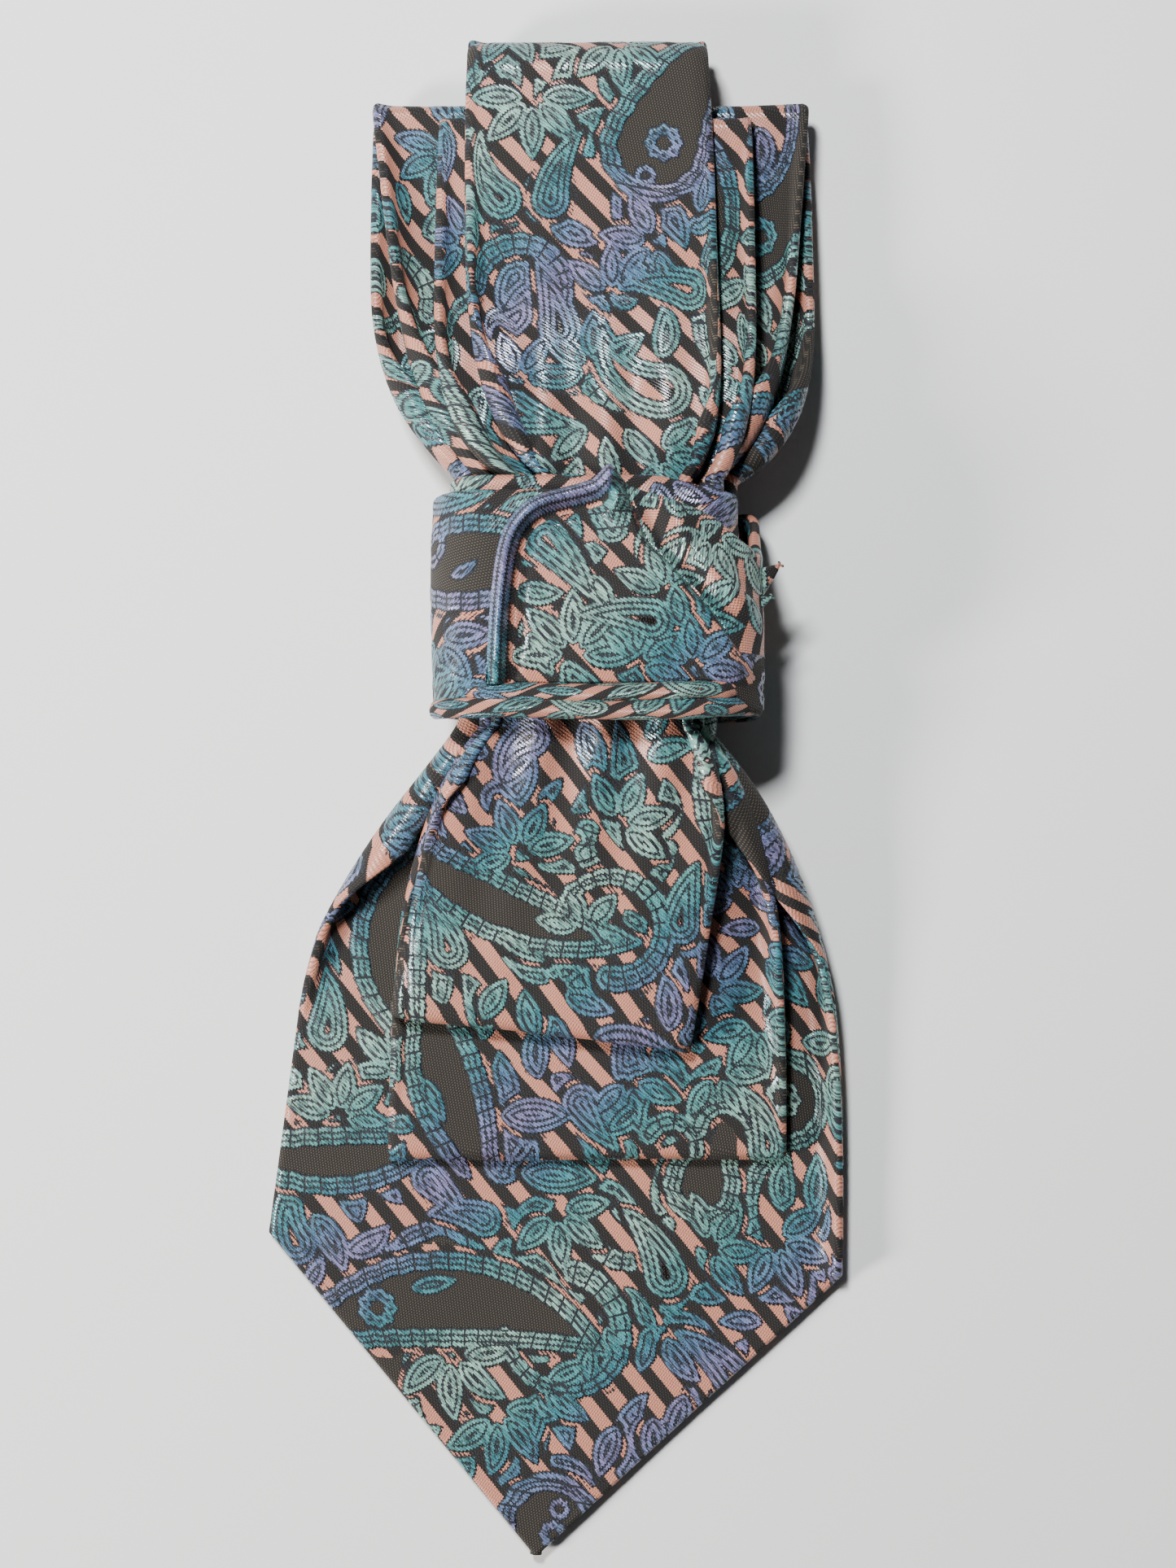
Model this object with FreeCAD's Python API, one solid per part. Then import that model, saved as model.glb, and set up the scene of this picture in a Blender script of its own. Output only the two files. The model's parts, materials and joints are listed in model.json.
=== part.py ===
"""A silk necktie folded into a bundle and tied round its middle with its own tail.

The folded tie lies on a table: +Y runs along it, from the pointed blade to the folded loops,
+X is to the right, and +Z is up. The origin is the centre of the flat back of the knot.
Every length is in millimetres and every angle in degrees.
"""
import FreeCAD
import Part
import math
import os

Vector = FreeCAD.Vector

# The cloth: a flat tube of silk round a wool interlining
PLY = 2.0              # thickness of the finished tie
SILK = 0.4             # thickness of the silk
EASE = 0.05            # room between the interlining and the silk
SIDE_SILK = 0.6        # width of the turned silk along each side
SEAM_GAP = 1.0         # gap between the two silk edges down the back, closed by the stitching

# The stack: six runs of the tie, one over another
LAYER_GAP = 0.3
WRAP_GAP = 0.2
KEEPER_ROOM = 0.9      # room behind the blade for its keeper loop
LAYERS = 6
PITCH = PLY + LAYER_GAP
WRAP_PITCH = PLY + WRAP_GAP
WRAPS = 3              # passes of the tail round the bundle

# The knot
KNOT_HALF_HEIGHT = 19.0
GATHER_HALF = 20.6     # half width of the stack squeezed inside the knot
CORNER_TUCK = 1.8      # the lowest and the highest run are narrower, in the rounded corners
INNER_CORNER = 2.6     # inside radius of the first wrap
WRAP_SEAM = 4.2        # from the left corner to where one wrap is counted as ending
FRONT_PASS_END = 1.2   # the last pass stops this short of the left corner
ROLL_HEIGHT = 3.8      # the lower edge of the last pass, rolled under
ROLL_THICK = 2.6
ROLL_END_ANGLE = 60.0  # how far round the left side of the knot the roll reaches
TAIL_TIP_LENGTH = 16.0
TAIL_TIP_HALF = 5.0
TAIL_TIP_THICK = 1.6
TAIL_TIP_Y = 3.0
TAIL_TIP_HEM = 1.6

# The mouths of the knot, where the runs leave it and bend
MOUTH_ROOM = 0.8       # hinge line outside the knot's rim
MOUTH_TUCK = 0.6       # each run is this much narrower, each side, than inside the knot
DROP_ANGLE = 22.0
DROP_RADIUS = 20.0

# The blade
BLADE_HALF = 47.5
BLADE_LENGTH = 135.5   # from the mouth to the point, along its own line
BLADE_POINT = 49.5     # the pointed end's share of that
BLADE_LEAN = -4.0      # turn of the blade about the mouth
BLADE_EASE = 22.0      # how quickly it widens after the knot
TIPPING_HEM = 9.0      # width of the silk hem round the tipping
TIPPING_RISE = 66.0    # from the point to where the seam begins
TIPPING_THICK = 0.3
TACK_LENGTH = 4.0
TACK_WIDTH = 1.0
TACK_THICK = 0.38
THREAD_WIDTH = 0.5
THREAD_THICK = 0.3
KEEPER_HALF = 15.0
KEEPER_HEIGHT = 12.0
KEEPER_FROM_TOP = 14.0
KEEPER_THICK = 0.3
KEEPER_STITCH = 1.5

# The folds: how far each reaches from its mouth, its half width and sideways drift there, how
# quickly it widens after the mouth, and the two runs that it joins
LOWER_FOLD = {"reach": 70.0, "half": 32.4, "shift": -1.0, "ease": 20.0, "runs": (2, 3)}
UPPER_FOLD = {"reach": 51.0, "half": 23.9, "shift": -8.5, "ease": 20.0, "runs": (4, 5)}
REAR_LOOP = {"reach": 65.0, "half": 36.3, "shift": -0.5, "ease": 12.0, "runs": (1, 2)}
MIDDLE_LOOP = {"reach": 61.5, "half": 25.7, "shift": 0.3, "ease": 12.0, "runs": (3, 4)}
FRONT_LOOP = {"reach": 75.0, "half": 19.8, "shift": -1.0, "ease": 12.0, "runs": (0, 5)}
BLADE = {"half": BLADE_HALF, "shift": 0.0, "ease": BLADE_EASE, "runs": (1, 1)}

FAR = 2 * (BLADE_LENGTH + BLADE_HALF)  # longer than the bundle, for cutting shapes
HINGE_Y = KNOT_HALF_HEIGHT + MOUTH_ROOM
KNOT_END_Y = HINGE_Y - LAYER_GAP
STACK_BASE = WRAPS * WRAP_PITCH + (LAYER_GAP - WRAP_GAP)
STACK_TOP = STACK_BASE + LAYERS * PITCH - LAYER_GAP
HINGE_Z = STACK_TOP + LAYER_GAP / 2


def knot_level(layer):
    """Middle height of a run inside the knot. Run 0 is the back one, run 5 the front one."""
    return STACK_BASE + PLY / 2 + layer * PITCH


def gathered_half(layer):
    """Half width of a run inside the knot."""
    return GATHER_HALF - CORNER_TUCK if layer in (0, LAYERS - 1) else GATHER_HALF


def low_level(layer):
    """Middle height of a run that lies on the table below the knot."""
    return PLY / 2 + (layer - 1) * PITCH


def top_level(layer):
    """Middle height of a run that lies on the table above the knot."""
    if layer == 0:
        return PLY / 2
    return PLY / 2 + PLY + KEEPER_ROOM + (layer - 1) * PITCH


def side_view(u, v):
    """A point of the lengthwise plane, before it is given its width along X."""
    return Vector(-FAR, u, v)


def end_view(u, v):
    """A point of the crosswise plane, before it is given its length along Y."""
    return Vector(u, -FAR, v)


def run(length):
    return ("run", length, 0.0)


def turn(radius, degrees):
    """A tangent arc. Positive degrees turn to the left."""
    return ("turn", radius, degrees)


def follow(start, heading, steps, offset, to_space):
    """The edges that keep an offset to the left of a path of runs and tangent arcs."""
    angle = math.radians(heading)
    u, v = start
    edges = []

    def beside(centre, reach, direction):
        return to_space(centre[0] - reach * math.sin(direction), centre[1] + reach * math.cos(direction))

    for kind, size, degrees in steps:
        if kind == "run":
            first = beside((u, v), offset, angle)
            u += size * math.cos(angle)
            v += size * math.sin(angle)
            edges.append(Part.LineSegment(first, beside((u, v), offset, angle)).toShape())
        else:
            side = math.copysign(1.0, degrees)
            sweep = math.radians(degrees)
            centre = (u - side * size * math.sin(angle), v + side * size * math.cos(angle))
            reach = offset - side * size
            points = [beside(centre, reach, angle + share * sweep) for share in (0.0, 0.5, 1.0)]
            edges.append(Part.Arc(*points).toShape())
            angle += sweep
            u = centre[0] + side * size * math.sin(angle)
            v = centre[1] - side * size * math.cos(angle)
    return edges


def band(start, heading, steps, low, high, to_space):
    """The solid between two offsets of a path, drawn out across the whole bundle."""
    right = follow(start, heading, steps, low, to_space)
    left = follow(start, heading, steps, high, to_space)
    caps = [
        Part.LineSegment(right[0].firstVertex(True).Point, left[0].firstVertex(True).Point).toShape(),
        Part.LineSegment(right[-1].lastVertex(True).Point, left[-1].lastVertex(True).Point).toShape(),
    ]
    wire = Part.Wire(Part.__sortEdges__(right + left + caps))
    across = Vector(2 * FAR, 0, 0) if to_space is side_view else Vector(0, 2 * FAR, 0)
    return Part.Face(wire).extrude(across)


def box(x0, x1, y0, y1, z0, z1):
    return Part.makeBox(x1 - x0, y1 - y0, z1 - z0, Vector(x0, y0, z0))


def prism(edges):
    """An upright solid with the given flat outline, taller than the bundle."""
    face = Part.Face(Part.Wire(Part.__sortEdges__(edges)))
    face.translate(Vector(0, 0, -FAR))
    return face.extrude(Vector(0, 0, 2 * FAR))


def polygon(points):
    corners = [Vector(x, y, 0) for x, y in points]
    return [Part.LineSegment(a, b).toShape() for a, b in zip(corners, corners[1:] + corners[:1])]


def side_curve(fold, reach, inset, side, direction):
    """One side of a run as it widens away from its mouth: quickly at first, and then hardly at all."""
    points = []
    mouth = min(gathered_half(layer) for layer in fold["runs"]) - MOUTH_TUCK
    for share in (0.0, 0.15, 0.35, 0.65, 1.0):
        along = share * reach
        half = fold["half"] - (fold["half"] - mouth) * math.exp(-along / fold["ease"]) - inset
        drift = fold["shift"] * along / reach
        points.append(Vector(drift + side * half, direction * (HINGE_Y + along), 0))
    curve = Part.BSplineCurve()
    curve.interpolate(points)
    return curve.toShape(), points


def fold_outline(fold, direction, inset=0.0):
    """The outline of a folded run seen from above, from its mouth to past its fold."""
    reach = fold["reach"] + PLY
    right, right_points = side_curve(fold, reach, inset, 1, direction)
    left, left_points = side_curve(fold, reach, inset, -1, direction)
    mouth = Part.LineSegment(left_points[0], right_points[0]).toShape()
    end = Part.LineSegment(left_points[-1], right_points[-1]).toShape()
    return prism([mouth, right, end, left])


def drop_lead(layer):
    """The short level run beside the mouth, longer on each higher run so that the bends nest."""
    return (layer + 1) * PITCH * math.tan(math.radians(DROP_ANGLE / 2))


def drop_slant(height):
    """The straight middle of the S that drops a run by this height."""
    slope = math.radians(DROP_ANGLE)
    return (height - 2 * DROP_RADIUS * (1 - math.cos(slope))) / math.sin(slope)


def drop_bends(height, side):
    """A gentle S down to the table, or back up from it: the same two bends either way."""
    turns = [turn(DROP_RADIUS, side * DROP_ANGLE), turn(DROP_RADIUS, -side * DROP_ANGLE)]
    return [turns[0], run(drop_slant(height)), turns[1]]


def drop_length(layer, height):
    """How far along the table the level run and the S reach."""
    slope = math.radians(DROP_ANGLE)
    return drop_lead(layer) + 2 * DROP_RADIUS * math.sin(slope) + drop_slant(height) * math.cos(slope)


def fold_path(fold, level, direction):
    """Out of the mouth on one run, round the fold, and back into the mouth on another."""
    low_layer, high_layer = fold["runs"]
    down = knot_level(low_layer) - level(low_layer)
    up = knot_level(high_layer) - level(high_layer)
    radius = (level(high_layer) - level(low_layer)) / 2
    straight = fold["reach"] - radius - PLY / 2
    side = -direction
    steps = [run(drop_lead(low_layer))] + drop_bends(down, side)
    steps += [run(straight - drop_length(low_layer, down)), turn(radius, -side * 180.0)]
    steps += [run(straight - drop_length(high_layer, up))] + drop_bends(up, side)
    steps.append(run(drop_lead(high_layer)))
    heading = 90.0 - 90.0 * direction
    return (direction * HINGE_Y, knot_level(low_layer)), heading, steps


def length_of_tie(path, outline, inner, seam, stitch, seam_side, to_space=side_view):
    """Silk tube with a seam gap on one face, the wool inside it, and the thread that closes the gap."""
    half = PLY / 2
    core = half - SILK
    hollow = band(*path, -core, core, to_space).common(inner)
    slit_faces = sorted([seam_side * (core - EASE), seam_side * (half + EASE)])
    slit = band(*path, *slit_faces, to_space).common(seam)
    thread_faces = sorted([seam_side * core, seam_side * (core + THREAD_THICK)])
    return {
        "silk": band(*path, -half, half, to_space).common(outline).cut(hollow).cut(slit),
        "interlining": band(*path, EASE - core, core - EASE, to_space).common(inner),
        "slip_stitch": band(*path, *thread_faces, to_space).common(stitch),
    }


def strip_along_y(half):
    return box(-half, half, -FAR, FAR, -FAR, FAR)


def folded_run(fold, level, direction, seam_side):
    """Two runs of the tie and the fold between them."""
    path = fold_path(fold, level, direction)
    outline = fold_outline(fold, direction)
    inner = fold_outline(fold, direction, SIDE_SILK)
    seam = strip_along_y(SEAM_GAP / 2)
    stitch = strip_along_y(THREAD_WIDTH / 2)
    return length_of_tie(path, outline, inner, seam, stitch, seam_side)


def blade_outline(inset):
    """The blade seen from above, unturned: widening from the mouth, then a right-angled point."""
    straight = BLADE_LENGTH - BLADE_POINT
    right, right_points = side_curve(BLADE, straight, inset, 1, -1)
    left, left_points = side_curve(BLADE, straight, inset, -1, -1)
    point = Vector(0, -(HINGE_Y + BLADE_LENGTH - inset * BLADE_POINT / BLADE_HALF), 0)
    return [
        Part.LineSegment(left_points[0], right_points[0]).toShape(),
        right,
        Part.LineSegment(right_points[-1], point).toShape(),
        Part.LineSegment(point, left_points[-1]).toShape(),
        left,
    ]


def leaning(shape):
    """Turned with the blade about the middle of the lower mouth."""
    return shape.rotated(Vector(0, -HINGE_Y, 0), Vector(0, 0, 1), BLADE_LEAN)


def tipping_outline(inset):
    """The kite of lining that shows on the back of the blade, inside its silk hem."""
    point_y = -(HINGE_Y + BLADE_LENGTH)
    hem = (TIPPING_HEM + inset) * math.hypot(BLADE_POINT, BLADE_HALF) / BLADE_HALF
    corner = BLADE_HALF - TIPPING_HEM - inset
    shoulder = point_y + hem + corner * BLADE_POINT / BLADE_HALF
    top = point_y + TIPPING_RISE - inset * 2
    return prism(polygon([(0, point_y + hem), (corner, shoulder), (0, top), (-corner, shoulder)]))


def make_blade():
    """The pointed blade: silk, wool, tipping, the thread down its back and the tack that ends it."""
    down = knot_level(1) - low_level(1)
    straight = BLADE_LENGTH + PLY - drop_length(1, down)
    steps = [run(drop_lead(1))] + drop_bends(down, 1) + [run(straight)]
    path = ((-HINGE_Y, knot_level(1)), 180.0, steps)
    below_mouth = box(-FAR, FAR, -FAR, -HINGE_Y, -FAR, FAR)
    outline = leaning(prism(blade_outline(0.0))).common(below_mouth)
    inner = leaning(prism(blade_outline(SIDE_SILK))).common(below_mouth)
    seam_top = -(HINGE_Y + BLADE_LENGTH) + TIPPING_RISE
    tack_half = TACK_WIDTH / 2
    stitch_end = seam_top + tack_half + WRAP_GAP
    seam = leaning(box(-SEAM_GAP / 2, SEAM_GAP / 2, seam_top, FAR, -FAR, FAR))
    stitch = leaning(box(-THREAD_WIDTH / 2, THREAD_WIDTH / 2, stitch_end, FAR, -FAR, FAR)).common(below_mouth)
    tack_place = leaning(box(
        -TACK_LENGTH / 2, TACK_LENGTH / 2, seam_top - tack_half, seam_top + tack_half, -FAR, FAR))
    tack_room = leaning(box(
        -TACK_LENGTH / 2 - WRAP_GAP, TACK_LENGTH / 2 + WRAP_GAP,
        seam_top - tack_half - WRAP_GAP, stitch_end, -FAR, FAR))
    core = PLY / 2 - SILK
    back = band(*path, core - EASE, PLY / 2 + EASE, side_view)
    made = length_of_tie(path, outline, inner, seam, stitch, 1)
    for opening in (leaning(tipping_outline(0.0)), tack_room):
        made["silk"] = made["silk"].cut(back.common(opening))
    lining = band(*path, core, core + TIPPING_THICK, side_view)
    made["tipping"] = lining.common(leaning(tipping_outline(EASE))).cut(tack_room)
    made["bar_tack"] = band(*path, core, core + TACK_THICK, side_view).common(tack_place)
    return {"blade_" + piece: shape for piece, shape in made.items()}


def make_folds():
    """The two folds that lie on the blade and the three loops above the knot."""
    plan = {
        "lower_fold": (LOWER_FOLD, low_level, -1, -1),
        "upper_fold": (UPPER_FOLD, low_level, -1, -1),
        "rear_loop": (REAR_LOOP, top_level, 1, -1),
        "middle_loop": (MIDDLE_LOOP, top_level, 1, -1),
        "front_loop": (FRONT_LOOP, top_level, 1, 1),
    }
    made = {}
    for name, settings in plan.items():
        for piece, shape in folded_run(*settings).items():
            made[name + "_" + piece] = shape
    return made


def make_keeper():
    """The keeper loop behind the blade, lying flat, and the stitches that hold its two ends."""
    blade_back = top_level(1) - PLY / 2
    y1 = HINGE_Y + REAR_LOOP["reach"] - KEEPER_FROM_TOP
    y0 = y1 - KEEPER_HEIGHT
    top = blade_back - KEEPER_THICK
    loop = box(-KEEPER_HALF, KEEPER_HALF, y0, y1, top - KEEPER_THICK, top)
    stitches = [
        box(x, x + KEEPER_STITCH, y0 + KEEPER_STITCH, y1 - KEEPER_STITCH, top, blade_back)
        for x in (KEEPER_STITCH - KEEPER_HALF, KEEPER_HALF - 2 * KEEPER_STITCH)
    ]
    return {"keeper_loop": loop, "keeper_stitches": Part.makeCompound(stitches)}


def make_gathered_runs():
    """The runs squeezed together inside the knot, as groups of one solid a run."""
    runs = []
    for layer in range(LAYERS):
        half = gathered_half(layer)
        path = ((-KNOT_END_Y, knot_level(layer)), 0.0, [run(2 * KNOT_END_Y)])
        seam_side = 1 if layer % 2 == 0 else -1
        runs.append(length_of_tie(
            path, strip_along_y(half), strip_along_y(half - SIDE_SILK),
            strip_along_y(SEAM_GAP / 2), strip_along_y(THREAD_WIDTH / 2), seam_side))
    return {"gathered_" + piece: Part.makeCompound([made[piece] for made in runs]) for piece in runs[0]}


def wrap_sizes(number):
    """The straight lengths across and up of a wrap, its corner radius and the height it starts at."""
    first_radius = INNER_CORNER + PLY / 2
    across = 2 * (GATHER_HALF + WRAP_GAP + PLY / 2 - first_radius)
    up = STACK_TOP - STACK_BASE + LAYER_GAP + WRAP_GAP + PLY - 2 * first_radius
    return across, up, first_radius + number * WRAP_PITCH, (WRAPS - 1 - number) * WRAP_PITCH + PLY / 2


def wrap_path(number):
    """One pass of the tail round the bundle. It starts at the back and winds outwards."""
    across, up, radius, level = wrap_sizes(number)
    to_right = across - WRAP_SEAM - WRAP_GAP / 2
    steps = [run(to_right), turn(radius, 90.0), run(up), turn(radius, 90.0)]
    if number == WRAPS - 1:
        steps.append(run(across - FRONT_PASS_END))
    else:
        to_seam = WRAP_SEAM - WRAP_GAP / 2
        steps += [run(across), turn(radius, 90.0), run(up + WRAP_PITCH), turn(radius, 90.0), run(to_seam)]
    return (across / 2 - to_right, level), 0.0, steps


def make_wraps():
    """The tail wound round the bundle, and its last pass over the front."""
    made = {}
    for number, name in enumerate(["first_wrap", "second_wrap", "front_pass"]):
        low = -KNOT_HALF_HEIGHT
        if number == WRAPS - 1:
            low += ROLL_HEIGHT + WRAP_GAP
        middle = (low + KNOT_HALF_HEIGHT) / 2
        outline = box(-FAR, FAR, low, KNOT_HALF_HEIGHT, -FAR, FAR)
        inner = box(-FAR, FAR, low + SIDE_SILK, KNOT_HALF_HEIGHT - SIDE_SILK, -FAR, FAR)
        seam = box(-FAR, FAR, middle - SEAM_GAP / 2, middle + SEAM_GAP / 2, -FAR, FAR)
        stitch = box(-FAR, FAR, middle - THREAD_WIDTH / 2, middle + THREAD_WIDTH / 2, -FAR, FAR)
        pieces = length_of_tie(wrap_path(number), outline, inner, seam, stitch, 1, end_view)
        for piece, shape in pieces.items():
            made[name + "_" + piece] = shape
    return made


def make_rolled_edge():
    """The lower edge of the last pass, rolled under itself across the front of the knot."""
    across, up, radius, level = wrap_sizes(WRAPS - 1)
    start = (across / 2 + radius, level + radius + up / 2)
    steps = [run(up / 2), turn(radius, 90.0), run(across), turn(radius, ROLL_END_ANGLE)]
    roll = band(start, 90.0, steps, PLY / 2 - ROLL_THICK, PLY / 2, end_view)
    return roll.common(box(-FAR, FAR, -KNOT_HALF_HEIGHT, ROLL_HEIGHT - KNOT_HALF_HEIGHT, -FAR, FAR))


def tail_tip_plate(inset, x0, x1):
    """The tail's pointed end as an upright plate, drawn in from its edges."""
    across, up, radius, level = wrap_sizes(WRAPS - 1)
    half = TAIL_TIP_HALF - inset
    middle_z = level + radius + up / 2
    blunt = TAIL_TIP_Y - TAIL_TIP_LENGTH / 2 + inset
    shoulder = TAIL_TIP_Y + TAIL_TIP_LENGTH / 2 - TAIL_TIP_HALF
    point = shoulder + half - inset * (math.sqrt(2) - 1)
    outline = [(blunt, -half), (shoulder, -half), (point, 0.0), (shoulder, half), (blunt, half)]
    corners = [Vector(x0, y, middle_z + z) for y, z in outline]
    return Part.Face(Part.makePolygon(corners + corners[:1])).extrude(Vector(x1 - x0, 0, 0))


def make_tail_tip():
    """The pointed end of the tail, pulled out flat against the right side of the knot, and its lining."""
    across, up, radius, level = wrap_sizes(WRAPS - 1)
    inside = across / 2 + radius + PLY / 2 + WRAP_GAP / 2
    outside = inside + TAIL_TIP_THICK
    pocket = tail_tip_plate(TAIL_TIP_HEM, inside - EASE, inside + TIPPING_THICK + EASE)
    return {
        "tail_tip_silk": tail_tip_plate(0.0, inside, outside).cut(pocket),
        "tail_tip_lining": tail_tip_plate(TAIL_TIP_HEM + EASE, inside, inside + TIPPING_THICK),
    }


def main():
    parts = {}
    parts.update(make_blade())
    parts.update(make_folds())
    parts.update(make_keeper())
    parts.update(make_gathered_runs())
    parts.update(make_wraps())
    parts.update(make_tail_tip())
    parts["rolled_edge"] = make_rolled_edge()
    os.makedirs("parts", exist_ok=True)
    for name, shape in parts.items():
        shape.exportStep("parts/" + name + ".step")
        print(name, shape.isValid(), len(shape.Solids), round(shape.Volume, 1))


main()
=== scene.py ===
import bpy
import json
import math
import numpy as np
from mathutils import Matrix, Vector


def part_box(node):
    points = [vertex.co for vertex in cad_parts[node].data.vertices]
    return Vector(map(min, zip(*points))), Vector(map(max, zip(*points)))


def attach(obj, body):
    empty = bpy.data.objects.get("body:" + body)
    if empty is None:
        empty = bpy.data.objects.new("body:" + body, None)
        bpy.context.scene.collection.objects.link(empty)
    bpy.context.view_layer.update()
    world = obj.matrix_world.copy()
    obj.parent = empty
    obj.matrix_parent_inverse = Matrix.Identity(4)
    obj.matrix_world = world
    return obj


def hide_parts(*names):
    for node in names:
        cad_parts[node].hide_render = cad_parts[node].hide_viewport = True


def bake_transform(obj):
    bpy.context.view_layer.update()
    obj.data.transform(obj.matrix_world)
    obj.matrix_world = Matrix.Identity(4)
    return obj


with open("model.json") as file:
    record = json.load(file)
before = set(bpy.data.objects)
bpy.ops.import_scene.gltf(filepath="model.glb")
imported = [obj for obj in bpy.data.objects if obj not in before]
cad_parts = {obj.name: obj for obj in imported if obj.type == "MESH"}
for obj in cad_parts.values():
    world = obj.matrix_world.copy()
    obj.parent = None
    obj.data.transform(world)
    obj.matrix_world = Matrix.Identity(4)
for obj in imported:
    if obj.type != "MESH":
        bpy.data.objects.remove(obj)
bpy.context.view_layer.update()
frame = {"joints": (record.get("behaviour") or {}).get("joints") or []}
MM = 0.001


# ---------------------------------------------------------------------------------------------
# The table, the window light and the viewer.
# The tie lies on a pale table and is looked at from almost straight above. A low window lights it
# from the left, and a smaller soft lamp hangs over the knot and the loops.
TABLE_HALF = 1.4
TABLE_COLOUR = (0.74, 0.73, 0.71)
ROOM_COLOUR = (0.80, 0.84, 0.90)
VIEW_AT = (-0.9 * MM, -28.5 * MM, 4.0 * MM)
VIEW_DISTANCE = 416 * MM
VIEW_RISE = 87.0          # how steeply the viewer looks down, degrees
VIEW_HEIGHT_ANGLE = 34.6


def flat_sheet(name, half, z):
    """A square in the plane of height z, from minus half to plus half both ways."""
    side = np.array([-half, half])
    x, y = np.meshgrid(side, side)
    points = np.stack([x.ravel(), y.ravel(), np.full(4, z)], axis=1)
    mesh = bpy.data.meshes.new(name)
    mesh.from_pydata(points.tolist(), [], [(0, 1, 3, 2)])
    piece = bpy.data.objects.new(name, mesh)
    bpy.context.collection.objects.link(piece)
    return piece


def plain_material(name, colour, roughness):
    """A material of one colour and roughness."""
    material = bpy.data.materials.new(name)
    material.use_nodes = True
    shader = material.node_tree.nodes["Principled BSDF"]
    shader.inputs["Base Color"].default_value = (*colour, 1)
    shader.inputs["Roughness"].default_value = roughness
    return material


def aim(thing, place, target):
    """Puts a light or the camera at a place, looking at a target."""
    look = Vector(target) - Vector(place)
    thing.matrix_world = Matrix.Translation(place) @ look.to_track_quat("-Z", "Y").to_matrix().to_4x4()


def soft_light(name, place, target, size, power, colour):
    """A rectangular lamp, its size in metres and its power in watts."""
    light = bpy.data.lights.new(name, "AREA")
    light.shape = "RECTANGLE"
    light.size, light.size_y = size
    light.energy = power
    light.color = colour
    lamp = bpy.data.objects.new(name, light)
    bpy.context.collection.objects.link(lamp)
    aim(lamp, place, target)


table = flat_sheet("table", TABLE_HALF, -0.0002)
table.data.materials.append(plain_material("pale_table", TABLE_COLOUR, roughness=0.75))

soft_light("window", place=(-0.74, -0.34, 0.40), target=(0, -0.01, 0), size=(0.20, 0.18), power=16.0,
           colour=(1.0, 0.98, 0.95))
soft_light("overhead", place=(-0.14, 0.23, 0.52), target=(0, 0.0, 0), size=(0.10, 0.10), power=7.0,
           colour=(0.93, 0.96, 1.0))
world = bpy.data.worlds.new("room")
world.use_nodes = True
room_light = world.node_tree.nodes["Background"]
room_light.inputs["Color"].default_value = (*ROOM_COLOUR, 1)
room_light.inputs["Strength"].default_value = 0.07
bpy.context.scene.world = world

lens = bpy.data.cameras.new("viewer")
lens.sensor_fit = "VERTICAL"
lens.angle = math.radians(VIEW_HEIGHT_ANGLE)
lens.clip_start = 0.01
viewer = bpy.data.objects.new("viewer", lens)
bpy.context.collection.objects.link(viewer)
rise = math.radians(VIEW_RISE)
view_back, view_up = VIEW_DISTANCE * math.cos(rise), VIEW_DISTANCE * math.sin(rise)
view_from = (VIEW_AT[0], VIEW_AT[1] - view_back, VIEW_AT[2] + view_up)
aim(viewer, view_from, VIEW_AT)
bpy.context.scene.camera = viewer


# ---------------------------------------------------------------------------------------------
# The blade: the tie's wide pointed end, the lowest run of the bundle.
# It is a flat tube of bias-cut jacquard silk, folded to the back round a wool interlining. Its
# sides are drawn up into rolls where the knot squeezes them.
PLY = 1.9                 # thickness of the flat tube: two silks and the wool
EDGE_STEPS = 7            # points round each edge of the tube
BLADE_STEP = 0.5          # how far apart the rings of the tube are
STRIPE_TILT = 47.0        # the stripes run down to the right at this angle
STRIPE_REPEAT = 4.25
OMBRE_REPEAT = 52.0       # the threads go from lilac to mint and back over this length

# The threads' colours: each weave's shaded and lit threads, the lines, and the run of shaded wefts.
SATIN_SHADE, SATIN_LIGHT = (0.25, 0.095, 0.060), (0.59, 0.250, 0.170)
TWILL_SHADE, TWILL_LIGHT = (0.003, 0.0025, 0.002), (0.036, 0.026, 0.019)
FIELD_SHADE, FIELD_LIGHT = (0.008, 0.007, 0.005), (0.085, 0.062, 0.042)
FLOAT_SHADE, LINE_COLOUR = (0.012, 0.020, 0.026), (0.012, 0.013, 0.017)
SHADED_THREADS = [
    (0.0, (0.24, 0.20, 0.38)), (0.22, (0.12, 0.20, 0.35)), (0.42, (0.050, 0.22, 0.26)),
    (0.68, (0.11, 0.33, 0.30)), (1.0, (0.34, 0.54, 0.43))]


# A motif is (kind, x, y, heading, length, head, bend): where it starts, the way it sets off in
# degrees, how long its middle line is, half its greatest width, and the angle that it turns by.
def motif_of(kind):
    """A function that writes down a motif of one kind."""
    def motif(x, y, heading, length, head, bend=0.0):
        """The kind and the six sizes, in the order above."""
        return (kind, x, y, heading, length, head, bend)
    return motif


leaf, drop, paisley, sickle, scroll = map(motif_of, ("leaf", "drop", "paisley", "sickle", "scroll"))


def ring(x, y, size, petals=8):
    """A scalloped ring about a point; a ring keeps its count of petals in bend."""
    return ("ring", x, y, 0.0, 0.0, size, petals)


def spray(x, y, heading, count, spread, length, head, bend=0.0):
    """A fan of leaves about one point, each starting 0.18 of its length away from the point."""
    leaves = []
    for i in range(count):
        turn = heading + spread * (i / max(count - 1, 1) - 0.5)
        out_x, out_y = math.cos(math.radians(turn)), math.sin(math.radians(turn))
        leaves.append(leaf(x + 0.18 * length * out_x, y + 0.18 * length * out_y, turn, length, head, bend))
    return leaves


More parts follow.
